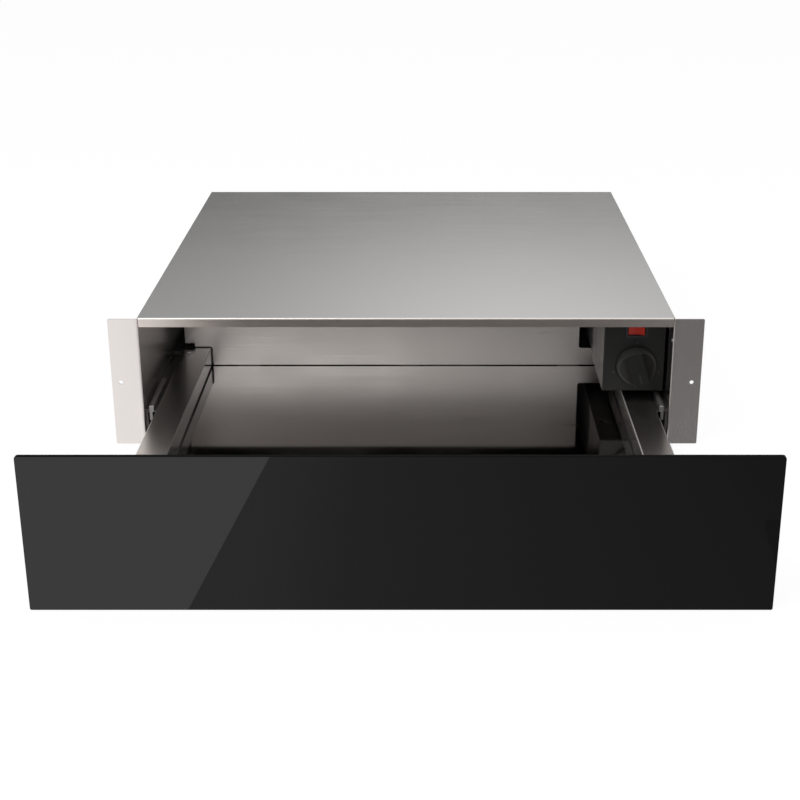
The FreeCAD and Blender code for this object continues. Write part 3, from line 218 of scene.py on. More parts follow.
def brushed_steel(name, axis, colour, roughness, contrast=0.06, smudge=0.03, relief=0.25, zones=()):
    """Streaked sheet steel, whose roughness, metal and tint differ in its zones; some zone tints are
    painted shade and painted light.
    """
    steel = Surface(name, roughness, metallic=1.0)
    fine = steel.noise(grain_scale(axis, GRAIN_FINE), detail=3.0, rough=0.6)
    broad = steel.noise(grain_scale(axis, GRAIN_BROAD), detail=2.0)
    streaks = steel.sum(
        steel.sum(fine, FINE_SHARE, "MULTIPLY"), steel.sum(broad, 1 - FINE_SHARE, "MULTIPLY"))
    handling = steel.noise(14.0, detail=4.0, rough=0.55)
    base = steel.blend_colour(
        steel.spread(streaks, 0.0, 1.0), tinted(colour, 1 - contrast), tinted(colour, 1 + contrast))
    grain_rough = steel.spread(streaks, roughness - GRAIN_ROUGHNESS, roughness + GRAIN_ROUGHNESS)
    smudges = steel.spread(handling, -smudge, smudge)
    rough = steel.sum(grain_rough, smudges)
    metal = 1.0
    for limits, zone_roughness, zone_metal, tint in zones:
        mask = zone_mask(steel, limits)
        rough = steel.pick(mask, rough, zone_roughness)
        metal = steel.pick(mask, metal, zone_metal)
        base = steel.multiply_colour(mask, base, tint)
    steel.link(base, steel.shader.inputs["Base Color"])
    steel.link(rough, steel.shader.inputs["Roughness"])
    if zones:
        steel.link(metal, steel.shader.inputs["Metallic"])
    steel.bump(streaks, relief, 0.00003)
    return steel.material


def zone_mask(surface, limits):
    """One inside all the limits, each an axis, a low and a high."""
    mask = 1.0
    for axis, low, high in limits:
        mask = surface.sum(mask, surface.inside(axis, low, high), "MULTIPLY")
    return mask


def polished_steel(name, colour, roughness):
    steel = Surface(name, roughness, metallic=1.0)
    wiped = steel.noise((5.0, 30.0, 30.0), detail=4.0, rough=0.6)
    scratches = steel.noise((25.0, 1800.0, 1800.0), detail=2.0)
    waves = steel.noise(7.0, detail=1.0)
    steel.colour(steel.spread(wiped, 0.0, 1.0), tinted(colour, 0.97), tinted(colour, 1.02))
    rough = steel.sum(
        steel.spread(wiped, roughness - 0.012, roughness + 0.012),
        steel.spread(scratches, 0.0, 0.02, start=0.55, end=0.75))
    steel.link(rough, steel.shader.inputs["Roughness"])
    steel.bump(waves, 0.12, 0.0006)
    return steel.material


def plated_metal(name, colour, roughness, spangle=90.0, tint=0.05, metallic=1.0):
    """Zinc plated or turned small parts: soft cloudy patches and a slight satin tooth."""
    metal = Surface(name, roughness, metallic=metallic)
    clouds = metal.noise(spangle, detail=3.0)
    tooth = metal.noise(2200.0, detail=1.0)
    metal.mottle(clouds, colour, tint)
    metal.vary_roughness(clouds, roughness, 0.06)
    metal.bump(tooth, 0.12, 0.00002)
    return metal.material


FLOW_SCALE = (35.0, 35.0, 12.0)


def moulded_plastic(name, colour, roughness, grain=1300.0, depth=0.00004, **sockets):
    """Injection moulded plastic: a fine spark eroded grain and a faint flow pattern."""
    plastic = Surface(name, roughness, **sockets)
    tooth = plastic.cells(grain)
    flow = plastic.noise(FLOW_SCALE, detail=3.0)
    plastic.mottle(flow, colour, 0.12)
    plastic.vary_roughness(flow, roughness, 0.04)
    plastic.bump(tooth, 0.35, depth)
    return plastic.material


def knob_plastic(name, face, rim, rim_radius):
    """Black knob whose rim is a lighter, duller grey than its face; the lighter rim is painted light."""
    plastic = Surface(name, 0.5, Specular_IOR_Level=0.24)
    tooth = plastic.cells(2200.0)
    flow = plastic.noise(FLOW_SCALE, detail=3.0)
    lit_rim_mask = plastic.beyond(*DIAL_PLACE, rim_radius)
    colour = plastic.blend_colour(plastic.spread(flow, 0.0, 1.0), tinted(face, 0.9), tinted(face, 1.1))
    painted_light_lift = tuple(high / low for high, low in zip(rim, face))
    plastic.link(plastic.multiply_colour(lit_rim_mask, colour, painted_light_lift), plastic.shader.inputs["Base Color"])
    rough = plastic.pick(lit_rim_mask, plastic.spread(flow, 0.46, 0.54), 0.7)
    plastic.link(rough, plastic.shader.inputs["Roughness"])
    plastic.bump(tooth, 0.35, 0.00002)
    return plastic.material


def powder_coat(name, colour, roughness):
    """Baked powder paint: orange peel with a fine speckle."""
    paint = Surface(name, roughness)
    peel = paint.noise(420.0, detail=2.0)
    speckle = paint.noise(1600.0, detail=1.0)
    paint.mottle(speckle, colour, 0.15)
    paint.vary_roughness(peel, roughness, 0.05)
    paint.bump(peel, 0.3, 0.00008)
    return paint.material


def black_glass(name):
    """Gloss glass printed black behind: a deep, faintly warm black with light wiping marks."""
    glass = Surface(name, 0.012, IOR=1.5)
    wiped = glass.noise((4.0, 9.0, 16.0), detail=5.0, rough=0.6)
    dust = glass.noise(900.0, detail=1.0)
    dusty = glass.spread(dust, 0.0, 1.0, start=0.6, end=0.85)
    glass.colour(dusty, (0.0022, 0.0021, 0.0020), (0.0040, 0.0040, 0.0040))
    glass.vary_roughness(wiped, 0.014, 0.006)
    return glass.material


def ground_glass(name):
    """The ground and blackened edge of the pane."""
    edge = Surface(name, 0.5, Specular_IOR_Level=0.02)
    grit = edge.noise(2500.0, detail=2.0)
    edge.mottle(grit, (0.005, 0.005, 0.005), 0.4)
    edge.vary_roughness(grit, 0.5, 0.08)
    edge.bump(grit, 0.2, 0.00003)
    return edge.material


def glazed_ceramic(name, colour):
    ceramic = Surface(name, 0.3)
    specks = ceramic.noise(700.0, detail=2.0)
    ceramic.colour(ceramic.spread(specks, 0.0, 1.0), tinted(colour, 0.9), colour)
    ceramic.vary_roughness(specks, 0.325, 0.075)
    ceramic.bump(specks, 0.2, 0.00005)
    return ceramic.material


def heated_sheath(name):
    """Heating tube: oxidised steel, blue brown where it gets hottest."""
    sheath = Surface(name, 0.5, metallic=0.85)
    heat = sheath.noise((9.0, 6.0, 9.0), detail=3.0)
    scale = sheath.noise(500.0, detail=2.0)
    sheath.colour(sheath.spread(heat, 0.0, 1.0), (0.15, 0.12, 0.11), (0.22, 0.22, 0.25))
    sheath.vary_roughness(scale, 0.5, 0.1)
    sheath.bump(scale, 0.3, 0.00005)
    return sheath.material


# Centre of the dial in X and Z, and where the knob's rim begins
DIAL_PLACE = (0.234, 0.0745)
KNOB_RIM_R = 0.0174

STEEL = (0.76, 0.755, 0.745)
WARM_STEEL = (0.70, 0.685, 0.67)
SIDE_STEEL = (0.80, 0.752, 0.728)
TOP_STEEL = (0.745, 0.735, 0.72)
PANEL_STEEL = (0.715, 0.685, 0.665)
PLAIN = (1.0, 1.0, 1.0)
OUTER_TINT = (0.86, 0.89, 0.91)
# Painted light: the front lip's face is tinted warmer than the rest of the top sheet
LIP_PAINTED_LIGHT = (1.04, 0.96, 0.92)

# Where the zones of the sheets begin and end
FAR = 1.0
SHEET = 0.001
CASE_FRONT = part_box("case_top")[0].y
CASE_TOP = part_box("case_top")[1].z
CASE_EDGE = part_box("case_top")[1].x
INNER_X = CASE_EDGE - 0.6 * SHEET
OUTER_X = CASE_EDGE - 0.3 * SHEET
BEHIND_FLANGE = (CASE_FRONT + SHEET, FAR)
FLANGE_DEPTH = (CASE_FRONT - SHEET, CASE_FRONT + SHEET)
LIP_DEPTH = (CASE_FRONT - SHEET, CASE_FRONT + 0.4 * SHEET)
BEHIND_LIP = (CASE_FRONT + 0.6 * SHEET, FAR)
UNDER_TOP = (0.0, CASE_TOP - 0.4 * SHEET)
WALL_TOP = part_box("drawer_left_side")[1].z
WALL_IN_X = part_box("drawer_right_side")[0].x
WALL_BEND = 0.0008
WALL_TOP_FACE = (WALL_TOP - SHEET, FAR)


def zone(roughness, metal, tint, **limits):
    """Limits along X, Y or Z, and the roughness, metal and tint of the sheet within them."""
    return tuple((axis, *span) for axis, span in limits.items()), roughness, metal, tint


# Inner faces left and right, flanges left and right, outer faces right and left; the inner faces are tinted
# darker as painted shade
SIDE_ZONES = (
    zone(0.26, 0.97, tinted(PLAIN, 0.82), X=(-INNER_X, 0.0), Y=BEHIND_FLANGE),
    zone(0.12, 1.0, tinted(PLAIN, 0.8), X=(0.0, INNER_X), Y=BEHIND_FLANGE),
    zone(0.5, 1.0, PLAIN, X=(-CASE_EDGE - SHEET, -CASE_EDGE + SHEET), Y=FLANGE_DEPTH),
    zone(0.42, 1.0, PLAIN, X=(CASE_EDGE - SHEET, CASE_EDGE), Y=FLANGE_DEPTH),
    zone(0.27, 1.0, OUTER_TINT, X=(OUTER_X, FAR), Y=BEHIND_FLANGE),
    zone(0.27, 1.0, OUTER_TINT, X=(-FAR, -OUTER_X), Y=BEHIND_FLANGE))
# Upper face of the floor
FLOOR_ZONES = (
    zone(0.36, 0.9, PLAIN, Z=(0.5 * SHEET, FAR)),)
# Tops of the left and right walls, tinted darker as painted shade and the right darker than the left, the
# right wall's inner bend, and the faces below the tops
WALL_ZONES = (
    zone(0.28, 1.0, (0.85, 0.83, 0.82), Z=WALL_TOP_FACE, X=(-FAR, 0.0)),
    zone(0.25, 1.0, (0.74, 0.72, 0.71), Z=WALL_TOP_FACE, X=(WALL_IN_X + WALL_BEND, FAR)),
    zone(0.55, 0.8, PLAIN, Z=(WALL_TOP - WALL_BEND, FAR), X=(WALL_IN_X, WALL_IN_X + WALL_BEND)),
    zone(0.16, 0.95, PLAIN, Z=(0.0, WALL_TOP - SHEET)))
# Front lip, tinted warmer as painted light, and the underside behind it
TOP_ZONES = (
    zone(0.3, 1.0, LIP_PAINTED_LIGHT, Z=UNDER_TOP, Y=LIP_DEPTH),
    # Painted shade: the underside behind the lip is darkened to half
    zone(0.35, 1.0, tinted(PLAIN, 0.5), Z=UNDER_TOP, Y=BEHIND_LIP))

MATERIALS = {
    "side_steel": brushed_steel(
        "side_steel", "Z", SIDE_STEEL, 0.24, contrast=0.02, relief=0.04, zones=SIDE_ZONES),
    "floor_steel": brushed_steel("floor_steel", "Y", STEEL, 0.3, zones=FLOOR_ZONES),
    "top_steel": brushed_steel(
        "top_steel", "X", TOP_STEEL, 0.2, contrast=0.03, smudge=0.012, relief=0.04, zones=TOP_ZONES),
    "wall_steel": brushed_steel(
        "wall_steel", "Y", WARM_STEEL, 0.13, contrast=0.03, smudge=0.015, relief=0.12, zones=WALL_ZONES),
    "panel_steel": brushed_steel("panel_steel", "X", PANEL_STEEL, 0.31, contrast=0.02, relief=0.06),
    "mirror_steel": polished_steel("mirror_steel", PANEL_STEEL, 0.05),
    "carrier_paint": powder_coat("carrier_paint", (0.045, 0.044, 0.042), 0.45),
    "zinc": plated_metal("zinc", (0.58, 0.59, 0.60), 0.34),
    "dark_steel": plated_metal("dark_steel", (0.17, 0.165, 0.16), 0.38, spangle=140.0, metallic=0.6),
    "screw_steel": plated_metal("screw_steel", (0.55, 0.55, 0.56), 0.26, spangle=300.0),
    "ball_chrome": plated_metal("ball_chrome", (0.78, 0.78, 0.79), 0.12, spangle=200.0, tint=0.02),
    "copper": plated_metal("copper", (0.72, 0.40, 0.26), 0.32, spangle=60.0, tint=0.12),
    "aluminium": plated_metal("aluminium", (0.80, 0.80, 0.80), 0.22, spangle=25.0),
    "element_sheath": heated_sheath("element_sheath"),
    "black_glass": black_glass("black_glass"),
    "glass_edge": ground_glass("glass_edge"),
    "black_plastic": moulded_plastic("black_plastic", (0.020, 0.020, 0.021), 0.46),
    "housing_plastic": moulded_plastic(
        "housing_plastic", (0.012, 0.012, 0.0115), 0.3, depth=0.00002, Specular_IOR_Level=0.42),
    "fascia_plastic": moulded_plastic(
        "fascia_plastic", (0.0125, 0.0125, 0.012), 0.42, grain=1800.0, Specular_IOR_Level=0.42),
    # Painted light: the knob's rim colour, lighter than its face
    "knob_plastic": knob_plastic("knob_plastic", (0.012, 0.012, 0.0115), (0.045, 0.045, 0.043), KNOB_RIM_R),
    "guide_steel": plated_metal("guide_steel", (0.30, 0.29, 0.28), 0.36, spangle=140.0, metallic=0.6),
    # Painted highlight: a near-white, mostly unmetallic finish for the guides' rolled edge
    "painted_highlight_edge": plated_metal(
        "painted_highlight_edge", (0.95, 0.94, 0.92), 0.5, spangle=300.0, tint=0.02, metallic=0.2),
    "grey_plastic": moulded_plastic("grey_plastic", (0.42, 0.42, 0.43), 0.4),
    "red_plastic": moulded_plastic("red_plastic", (0.62, 0.035, 0.02), 0.22, depth=0.00001),
    "rubber": moulded_plastic("rubber", (0.018, 0.018, 0.018), 0.7, grain=900.0),
    "ceramic": glazed_ceramic("ceramic", (0.82, 0.80, 0.74)),
    "print_grey": moulded_plastic("print_grey", (0.019, 0.019, 0.019), 0.5, depth=0.00001),
    "dial_print": moulded_plastic("dial_print", (0.07, 0.07, 0.07), 0.5, depth=0.00001),
    # Painted shade: the black of the strips in the floor slots
    "slot_shade_black": moulded_plastic("slot_shade_black", (0.012, 0.012, 0.012), 0.6, grain=700.0),
}

NODE_MATERIALS = {
    "side_steel": ("case_left_side", "case_right_side"),
    "floor_steel": ("case_floor",),
    "top_steel": ("case_top",),
    "wall_steel": ("drawer_left_side", "drawer_right_side"),
    "panel_steel": ("drawer_back",),
    "mirror_steel": ("drawer_floor",),
    "carrier_paint": ("front_carrier",),
    "zinc": (
        "top_ears", "case_back", "thermostat", "element_clips", "thermal_cutout", "fan_motor",
        "carrier_brackets", "latch_striker"),
    "guide_steel": ("left_drawer_guide", "right_drawer_guide"),
    "dark_steel": (
        "back_brackets", "open_stops", "stop_lugs", "left_outer_rail", "right_outer_rail",
        "left_inner_rail", "right_inner_rail", "left_ball_cage", "right_ball_cage"),
    "screw_steel": ("case_screws", "side_rivet", "rail_screws", "housing_screws", "drawer_screws"),
    "ball_chrome": ("left_balls", "right_balls"),
    "copper": ("thermostat_bulb",),
    "aluminium": ("heat_reflector",),
    "element_sheath": ("heating_element",),
    "black_glass": ("glass_front",),
    "black_plastic": (
        "cable_gland", "switch_frame", "switch_body", "wiring_duct", "fan_frame",
        "fan_rotor", "latch_housing"),
    "housing_plastic": ("control_housing",),
    "fascia_plastic": ("control_fascia",),
    "knob_plastic": ("dial_knob",),
    "grey_plastic": ("latch_plunger",),
    "red_plastic": ("rocker",),
    "rubber": ("stop_pads", "glass_glue", "front_buffers"),
    "ceramic": ("element_ends", "terminal_block"),
    "print_grey": ("knob_pointer",),
}

for material_name, node_names in NODE_MATERIALS.items():
    for node_name in node_names:
        for material_slot in nodes[node_name].material_slots:
            material_slot.material = MATERIALS[material_name]


# ---------------------------------------------------------------- pieces made here

def piece(name, mesh_builder, *materials):
    """A new object whose mesh is written by the builder, with its materials in slot order."""
    work = bmesh.new()
    mesh_builder(work)
    bmesh.ops.recalc_face_normals(work, faces=work.faces)
    mesh = bpy.data.meshes.new(name)
    work.to_mesh(mesh)
    work.free()
    for material in materials:
        mesh.materials.append(material)
    made = bpy.data.objects.new(name, mesh)
    bpy.context.scene.collection.objects.link(made)
    return made


def add_bar(work, low, high):
    """A closed box between two corners."""
    corners = [
        work.verts.new((x, y, z))
        for x in (low[0], high[0])
        for y in (low[1], high[1])
        for z in (low[2], high[2])]
    for face in ((0, 1, 3, 2), (4, 6, 7, 5), (0, 4, 5, 1), (2, 3, 7, 6), (0, 2, 6, 4), (1, 5, 7, 3)):
        work.faces.new([corners[i] for i in face])


def rounded_ring(x0, x1, z0, z1, low_r, top_r, steps=6):
    """X, Z points round a rectangle whose upper and lower corners have their own radii."""
    corners = (
        (x1 - top_r, z1 - top_r, top_r, 0.0), (x0 + top_r, z1 - top_r, top_r, 90.0),
        (x0 + low_r, z0 + low_r, low_r, 180.0), (x1 - low_r, z0 + low_r, low_r, 270.0))
    points = []
    for x, z, radius, start in corners:
        for i in range(steps + 1):
            angle = math.radians(start + 90.0 * i / steps)
            points.append((x + radius * math.cos(angle), z + radius * math.sin(angle)))
    return points


PANE_TOP_R = 0.0025
PANE_LOW_R = 0.0015
PANE_CHAMFER = 0.00045
PANE_CLEAR = 0.0001


def pane_mesh(work):
    """The glass pane: polished faces, ground edge and chamfers; it stands just clear of the ground."""
    low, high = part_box("glass_front")
    low.z = PANE_CLEAR
    sections = (
        (low.y, PANE_CHAMFER),
        (low.y + PANE_CHAMFER, 0.0),
        (high.y - PANE_CHAMFER, 0.0),
        (high.y, PANE_CHAMFER))
    rings = []
    for y, inset in sections:
        outline = rounded_ring(
            low.x + inset, high.x - inset, low.z + inset, high.z - inset,
            PANE_LOW_R - inset, PANE_TOP_R - inset)
        rings.append([work.verts.new((x, y, z)) for x, z in outline])
    work.faces.new(rings[0])
    work.faces.new(reversed(rings[-1]))
    count = len(rings[0])
    for front, back in zip(rings, rings[1:]):
        for i in range(count):
            j = (i + 1) % count
            work.faces.new((front[i], front[j], back[j], back[i])).material_index = 1


def glass_pane():
    pane = piece("glass_pane", pane_mesh, MATERIALS["black_glass"], MATERIALS["glass_edge"])
    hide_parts("glass_front")
    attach(pane, "drawer")


SLOT_W = 0.0013
STRIP_PLAY = 0.0001
STRIP_BOTTOM = 0.0145
STRIP_TOP = 0.0178


def slot_shade_strips():
    """Black strip in the slot between the drawer's floor and each wall, standing in as painted shade for
    the dark slot.
    """
    low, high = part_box("drawer_floor")
    wall_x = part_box("drawer_right_side")[0].x
    front_y = low.y + STRIP_PLAY
    back_y = high.y - STRIP_PLAY

    def strips(work):
        for side in (-1, 1):
            edges = (side * (wall_x - SLOT_W + STRIP_PLAY), side * (wall_x - STRIP_PLAY))
            add_bar(work, (min(edges), front_y, STRIP_BOTTOM), (max(edges), back_y, STRIP_TOP))

    shade_strips = piece("slot_shade_strips", strips, MATERIALS["slot_shade_black"])
    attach(shade_strips, "drawer")


# Each stroke runs from X, Z to X, Z on a grid one wide and two high
DIGIT_STROKES = {
    "0": ((0, 0, 1, 0), (1, 0, 1, 2), (1, 2, 0, 2), (0, 2, 0, 0)),
    "1": ((0.5, 0, 0.5, 2), (0.5, 2, 0.1, 1.6)),
    "2": ((0, 2, 1, 2), (1, 2, 1, 1), (1, 1, 0, 1), (0, 1, 0, 0), (0, 0, 1, 0)),
    "3": ((0, 2, 1, 2), (1, 2, 1, 0), (1, 0, 0, 0), (0.2, 1, 1, 1)),
    "4": ((0, 2, 0, 1), (0, 1, 1, 1), (1, 2, 1, 0)),
}
DIGIT_SIZE = 0.0011
STROKE_HALF = 0.0002
DIGIT_RADIUS = 0.0243
PRINT_HEIGHT = 0.00005
DIGIT_ANGLES = (("0", 0.0), ("1", 72.0), ("2", 108.0), ("3", 180.0), ("4", 252.0))


def add_stroke(work, x0, z0, x1, z1, y0, y1):
    """A thin flat bar from one X, Z place to another."""
    along = Vector((x1 - x0, z1 - z0)).normalized() * STROKE_HALF
    across = Vector((-along.y, along.x))
    start = Vector((x0, z0)) - along
    end = Vector((x1, z1)) + along
    outline = (start - across, end - across, end + across, start + across)
    front = [work.verts.new((p.x, y0, p.y)) for p in outline]
    back = [work.verts.new((p.x, y1, p.y)) for p in outline]
    work.faces.new(front)
    work.faces.new(list(reversed(back)))
    for i in range(4):
        j = (i + 1) % 4
        work.faces.new((front[i], back[i], back[j], front[j]))


def dial_numbers():
    """Faint numbers printed round the dial."""
    face_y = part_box("control_fascia")[0].y
    centre_x, centre_z = DIAL_PLACE

    def marks(work):
        for digit, turn in DIGIT_ANGLES:
            angle = math.radians(turn)
            x = centre_x + DIGIT_RADIUS * math.sin(angle) - DIGIT_SIZE / 2
            z = centre_z + DIGIT_RADIUS * math.cos(angle) - DIGIT_SIZE
            for x0, z0, x1, z1 in DIGIT_STROKES[digit]:
                start = (x + x0 * DIGIT_SIZE, z + z0 * DIGIT_SIZE)
                end = (x + x1 * DIGIT_SIZE, z + z1 * DIGIT_SIZE)
                add_stroke(work, *start, *end, face_y - PRINT_HEIGHT, face_y + PRINT_HEIGHT)

    numbers = piece("dial_numbers", marks, MATERIALS["dial_print"])
    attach(numbers, "casing")


BEAD_R = 0.0006
BEAD_SINK = 0.9
BEAD_STEPS = 10
BEAD_IN_X = 0.2565
BEAD_OUT_X = 0.2603


def guide_beads():
    """Rolled edge along the top of each guide's front, coloured near white as a painted highlight."""

    def beads(work):
        for node in ("left_drawer_guide", "right_drawer_guide"):
            low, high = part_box(node)
            ends = (-BEAD_OUT_X, -BEAD_IN_X) if low.x < 0 else (BEAD_IN_X, BEAD_OUT_X)
            rings = []
            for x in ends:
                ring = []
                for i in range(BEAD_STEPS):
                    angle = 2 * math.pi * i / BEAD_STEPS
                    y = low.y + BEAD_R * (BEAD_SINK + math.cos(angle))
                    z = high.z - BEAD_R * (BEAD_SINK + math.sin(angle))
                    ring.append(work.verts.new((x, y, z)))
                rings.append(ring)
            work.faces.new(rings[0])
            work.faces.new(list(reversed(rings[1])))
            for i in range(BEAD_STEPS):
                j = (i + 1) % BEAD_STEPS
                work.faces.new((rings[0][i], rings[1][i], rings[1][j], rings[0][j]))

    bead = piece("guide_beads", beads, MATERIALS["painted_highlight_edge"])
    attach(bead, "casing")


glass_pane()
slot_shade_strips()
dial_numbers()
guide_beads()


# ---------------------------------------------------------------- stage

FLOOR_HALF = 30.0
FLOOR_GLOW = 0.9
FLOOR_SHADED = 0.14
FLOOR_ALBEDO = 0.8


def background_rays(tree):
    """One for camera, glossy and transmission rays, which are to see the white background."""
    path = tree.nodes.new("ShaderNodeLightPath")
    total = path.outputs["Is Camera Ray"]
    for name in ("Is Glossy Ray", "Is Transmission Ray"):
        either = tree.nodes.new("ShaderNodeMath")
        either.operation = "MAXIMUM"
        tree.links.new(total, either.inputs[0])
        tree.links.new(path.outputs[name], either.inputs[1])
        total = either.outputs["Value"]
    return total


def floor_material():
    material = bpy.data.materials.new("stage_floor")
    material.use_nodes = True
    tree = material.node_tree
    tree.nodes.remove(tree.nodes["Principled BSDF"])
    plain = tree.nodes.new("ShaderNodeBsdfDiffuse")
    plain.inputs["Color"].default_value = (FLOOR_ALBEDO, FLOOR_ALBEDO, FLOOR_ALBEDO, 1)
    shaded = tree.nodes.new("ShaderNodeBsdfDiffuse")
    shaded.inputs["Color"].default_value = (FLOOR_SHADED, FLOOR_SHADED, FLOOR_SHADED, 1)
    glow = tree.nodes.new("ShaderNodeEmission")
    glow.inputs["Strength"].default_value = FLOOR_GLOW
    white = tree.nodes.new("ShaderNodeAddShader")
    tree.links.new(shaded.outputs["BSDF"], white.inputs[0])
    tree.links.new(glow.outputs["Emission"], white.inputs[1])
    mix = tree.nodes.new("ShaderNodeMixShader")
    tree.links.new(background_rays(tree), mix.inputs["Fac"])
    tree.links.new(plain.outputs["BSDF"], mix.inputs[1])
    tree.links.new(white.outputs["Shader"], mix.inputs[2])
    tree.links.new(mix.outputs["Shader"], tree.nodes["Material Output"].inputs["Surface"])
    return material


def mesh_object(name, vertices, faces, material):
    mesh = bpy.data.meshes.new(name)
    mesh.from_pydata(vertices, [], faces)
    mesh.materials.append(material)
    made = bpy.data.objects.new(name, mesh)
    bpy.context.scene.collection.objects.link(made)
    return made


def floor():
    size = FLOOR_HALF
    corners = [(-size, -size, 0), (size, -size, 0), (size, size, 0), (-size, size, 0)]
    return mesh_object("floor", corners, [(0, 1, 2, 3)], floor_material())


def card_material(name, *changes):
    """A glow that is the product of smooth changes: axis, start, end, value before, value after."""
    material = bpy.data.materials.new(name)
    material.use_nodes = True
    tree = material.node_tree
    tree.nodes.remove(tree.nodes["Principled BSDF"])
    place = tree.nodes.new("ShaderNodeTexCoord")
    split = tree.nodes.new("ShaderNodeSeparateXYZ")
    tree.links.new(place.outputs["Object"], split.inputs["Vector"])

    def change(along, a, b, value_a, value_b):
        node = tree.nodes.new("ShaderNodeMapRange")
        node.interpolation_type = "SMOOTHSTEP"
        node.inputs["From Min"].default_value = a
        node.inputs["From Max"].default_value = b
        node.inputs["To Min"].default_value = value_a
        node.inputs["To Max"].default_value = value_b
        tree.links.new(split.outputs[along], node.inputs["Value"])
        return node.outputs["Result"]

    strength = change(*changes[0])
    for step in changes[1:]:
        product = tree.nodes.new("ShaderNodeMath")
        product.operation = "MULTIPLY"
        tree.links.new(strength, product.inputs[0])
        tree.links.new(change(*step), product.inputs[1])
        strength = product.outputs["Value"]
    glow = tree.nodes.new("ShaderNodeEmission")
    tree.links.new(strength, glow.inputs["Strength"])
    tree.links.new(glow.outputs["Emission"], tree.nodes["Material Output"].inputs["Surface"])
    return material


def reflection_card(name, corners, material):
    """A card that only reflections see, as a studio flag or gradient board does its work."""
    card = mesh_object(name, corners, [tuple(range(len(corners)))], material)
    card.visible_camera = False
    card.visible_diffuse = False
    card.visible_shadow = False
    card.visible_transmission = False
    card.visible_volume_scatter = False
    return card


FLAG_EDGE_NEAR = (-0.1708, -0.5905)
FLAG_EDGE_SLOPE = -0.1156
FLAG_Z = 0.0004
FLAG_FAR = 4.0
FLAG_BACK_Y = -0.2
# Each glow is an axis, where it begins and ends along it, and how bright it is at both ends
FLAG_GLOW = (("X", -0.17, 0.45, 0.49, 0.17), ("X", -0.14, -0.03, 1.0, 0.77), ("X", 0.1, 0.32, 1.0, 1.25))


def front_flag():
    """Dark board on the floor before the right half of the front; its edge is the line in the glass."""
    x0, y0 = FLAG_EDGE_NEAR
    far_x = x0 - (FLAG_FAR + y0) * FLAG_EDGE_SLOPE
    case_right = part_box("case_right_side")[0].x
    outline = (
        (x0, y0), (far_x, -FLAG_FAR), (FLAG_FAR, -FLAG_FAR), (FLAG_FAR, FLAG_BACK_Y),
        (case_right, FLAG_BACK_Y), (case_right, y0))
    corners = [(x, y, FLAG_Z) for x, y in outline]
    return reflection_card("front_flag", corners, card_material("front_flag", *FLAG_GLOW))


SIDE_FLAG_Z = 0.0007
SIDE_FLAG_EDGE = ((0.31, -0.6), (0.325, -0.75))
SIDE_FLAG_NEAR_Y = -0.57
SIDE_FLAG_GLOW = ("Y", -0.66, -0.3, 0.148, 0.18)


def side_flag():
    """Darker board beside the open drawer on the right, which the right flange mirrors."""
    case_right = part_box("case_right_side")[0].x
    outline = (
        (case_right, SIDE_FLAG_NEAR_Y), *SIDE_FLAG_EDGE, (FLAG_FAR, SIDE_FLAG_EDGE[1][1]),
        (FLAG_FAR, FLAG_BACK_Y), (case_right, FLAG_BACK_Y))
    corners = [(x, y, SIDE_FLAG_Z) for x, y in outline]
    return reflection_card("side_flag", corners, card_material("side_flag", SIDE_FLAG_GLOW))


def upright_card(name, glow, left, right, y, bottom, top):
    """A card across Y, whose left and right are as seen from the drawer."""
    corners = [(left, y, bottom), (right, y, bottom), (right, y, top), (left, y, top)]
    return reflection_card(name, corners, card_material(name, *glow))


BACK_GLOW = (("Z", 0.62, 1.15, 0.172, 0.64), ("X", -0.9, 0.3, 0.65, 1.19), ("X", 0.3, 1.0, 1.0, 0.87))
FRONT_GLOW = (("X", -0.5, 0.35, 1.0, 0.29), ("Z", 0.95, 1.25, 1.25, 1.75), ("X", -0.68, -0.52, 0.5, 1.0))


def back_board():
    """Gradient board behind the drawer, which the top panel mirrors."""
    return upright_card("back_board", BACK_GLOW, left=-3.0, right=3.0, y=2.6, bottom=0.0, top=2.2)


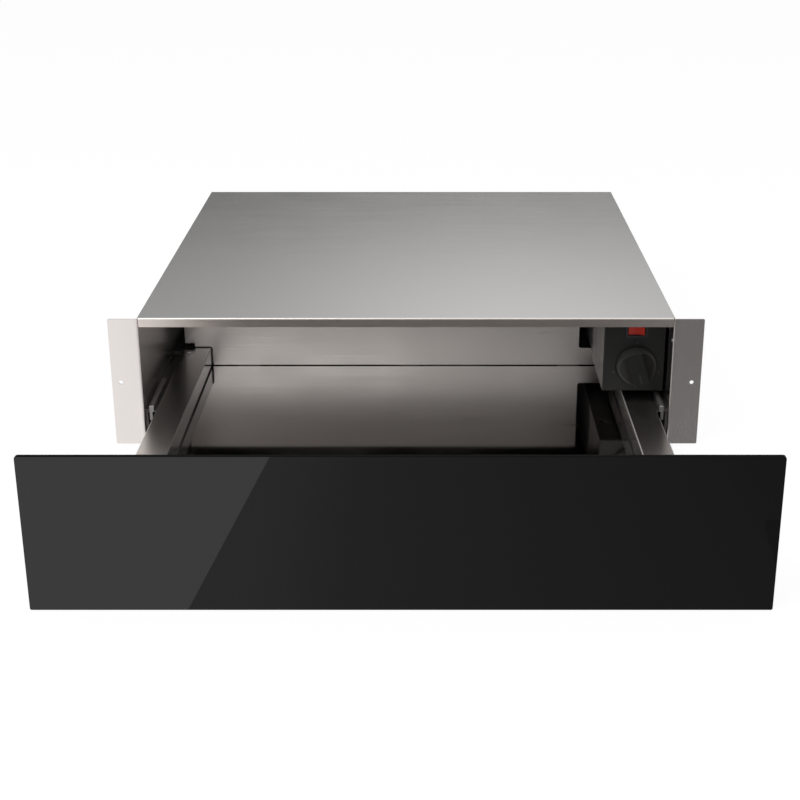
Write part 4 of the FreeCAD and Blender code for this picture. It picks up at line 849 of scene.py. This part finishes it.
def front_board():
    """Gradient board before the drawer, which the back panel mirrors by way of the drawer's floor."""
    return upright_card("front_board", FRONT_GLOW, left=2.6, right=-2.6, y=-3.0, bottom=0.45, top=2.0)


LIGHT_TARGET = (0, -0.2, 0.05)


def area_light(name, place, size, power):
    """A rectangular lamp that faces the open drawer; its size is in metres and its power in watts."""
    light = bpy.data.lights.new(name, "AREA")
    light.shape = "RECTANGLE"
    light.size, light.size_y = size
    light.energy = power
    lamp = bpy.data.objects.new(name, light)
    lamp.location = place
    lamp.rotation_euler = (Vector(LIGHT_TARGET) - Vector(place)).to_track_quat("-Z", "Y").to_euler()
    bpy.context.scene.collection.objects.link(lamp)


WORLD_AMBIENT = 0.55


def world():
    """An even white sky: full white to the camera and to reflections, dimmer as light."""
    sky = bpy.data.worlds.new("studio")
    sky.use_nodes = True
    bpy.context.scene.world = sky
    tree = sky.node_tree
    ground = tree.nodes["Background"]
    strength = tree.nodes.new("ShaderNodeMapRange")
    strength.inputs["To Min"].default_value = WORLD_AMBIENT
    strength.inputs["To Max"].default_value = 1.0
    tree.links.new(background_rays(tree), strength.inputs["Value"])
    tree.links.new(strength.outputs["Result"], ground.inputs["Strength"])
    ground.inputs["Color"].default_value = (1, 1, 1, 1)


def camera():
    lens = bpy.data.cameras.new("camera")
    lens.lens = LENS
    lens.sensor_width = SENSOR
    lens.shift_x = (IMAGE_SIZE / 2 - AXIS_PIXEL_X) / IMAGE_SIZE
    lens.shift_y = (AXIS_PIXEL_Y - IMAGE_SIZE / 2) / IMAGE_SIZE
    eye = bpy.data.objects.new("camera", lens)
    eye.location = CAMERA_PLACE
    eye.rotation_euler = (CAMERA_TILT, 0, 0)
    bpy.context.scene.collection.objects.link(eye)
    bpy.context.scene.camera = eye


camera()
world()
area_light("key_light", place=(-1.3, -1.7, 2.1), size=(1.8, 1.2), power=26.0)
area_light("fill_light", place=(1.9, -0.9, 1.5), size=(1.2, 1.2), power=7.0)
floor()
front_flag()
side_flag()
back_board()
front_board()

bpy.context.scene.view_settings.view_transform = "Standard"
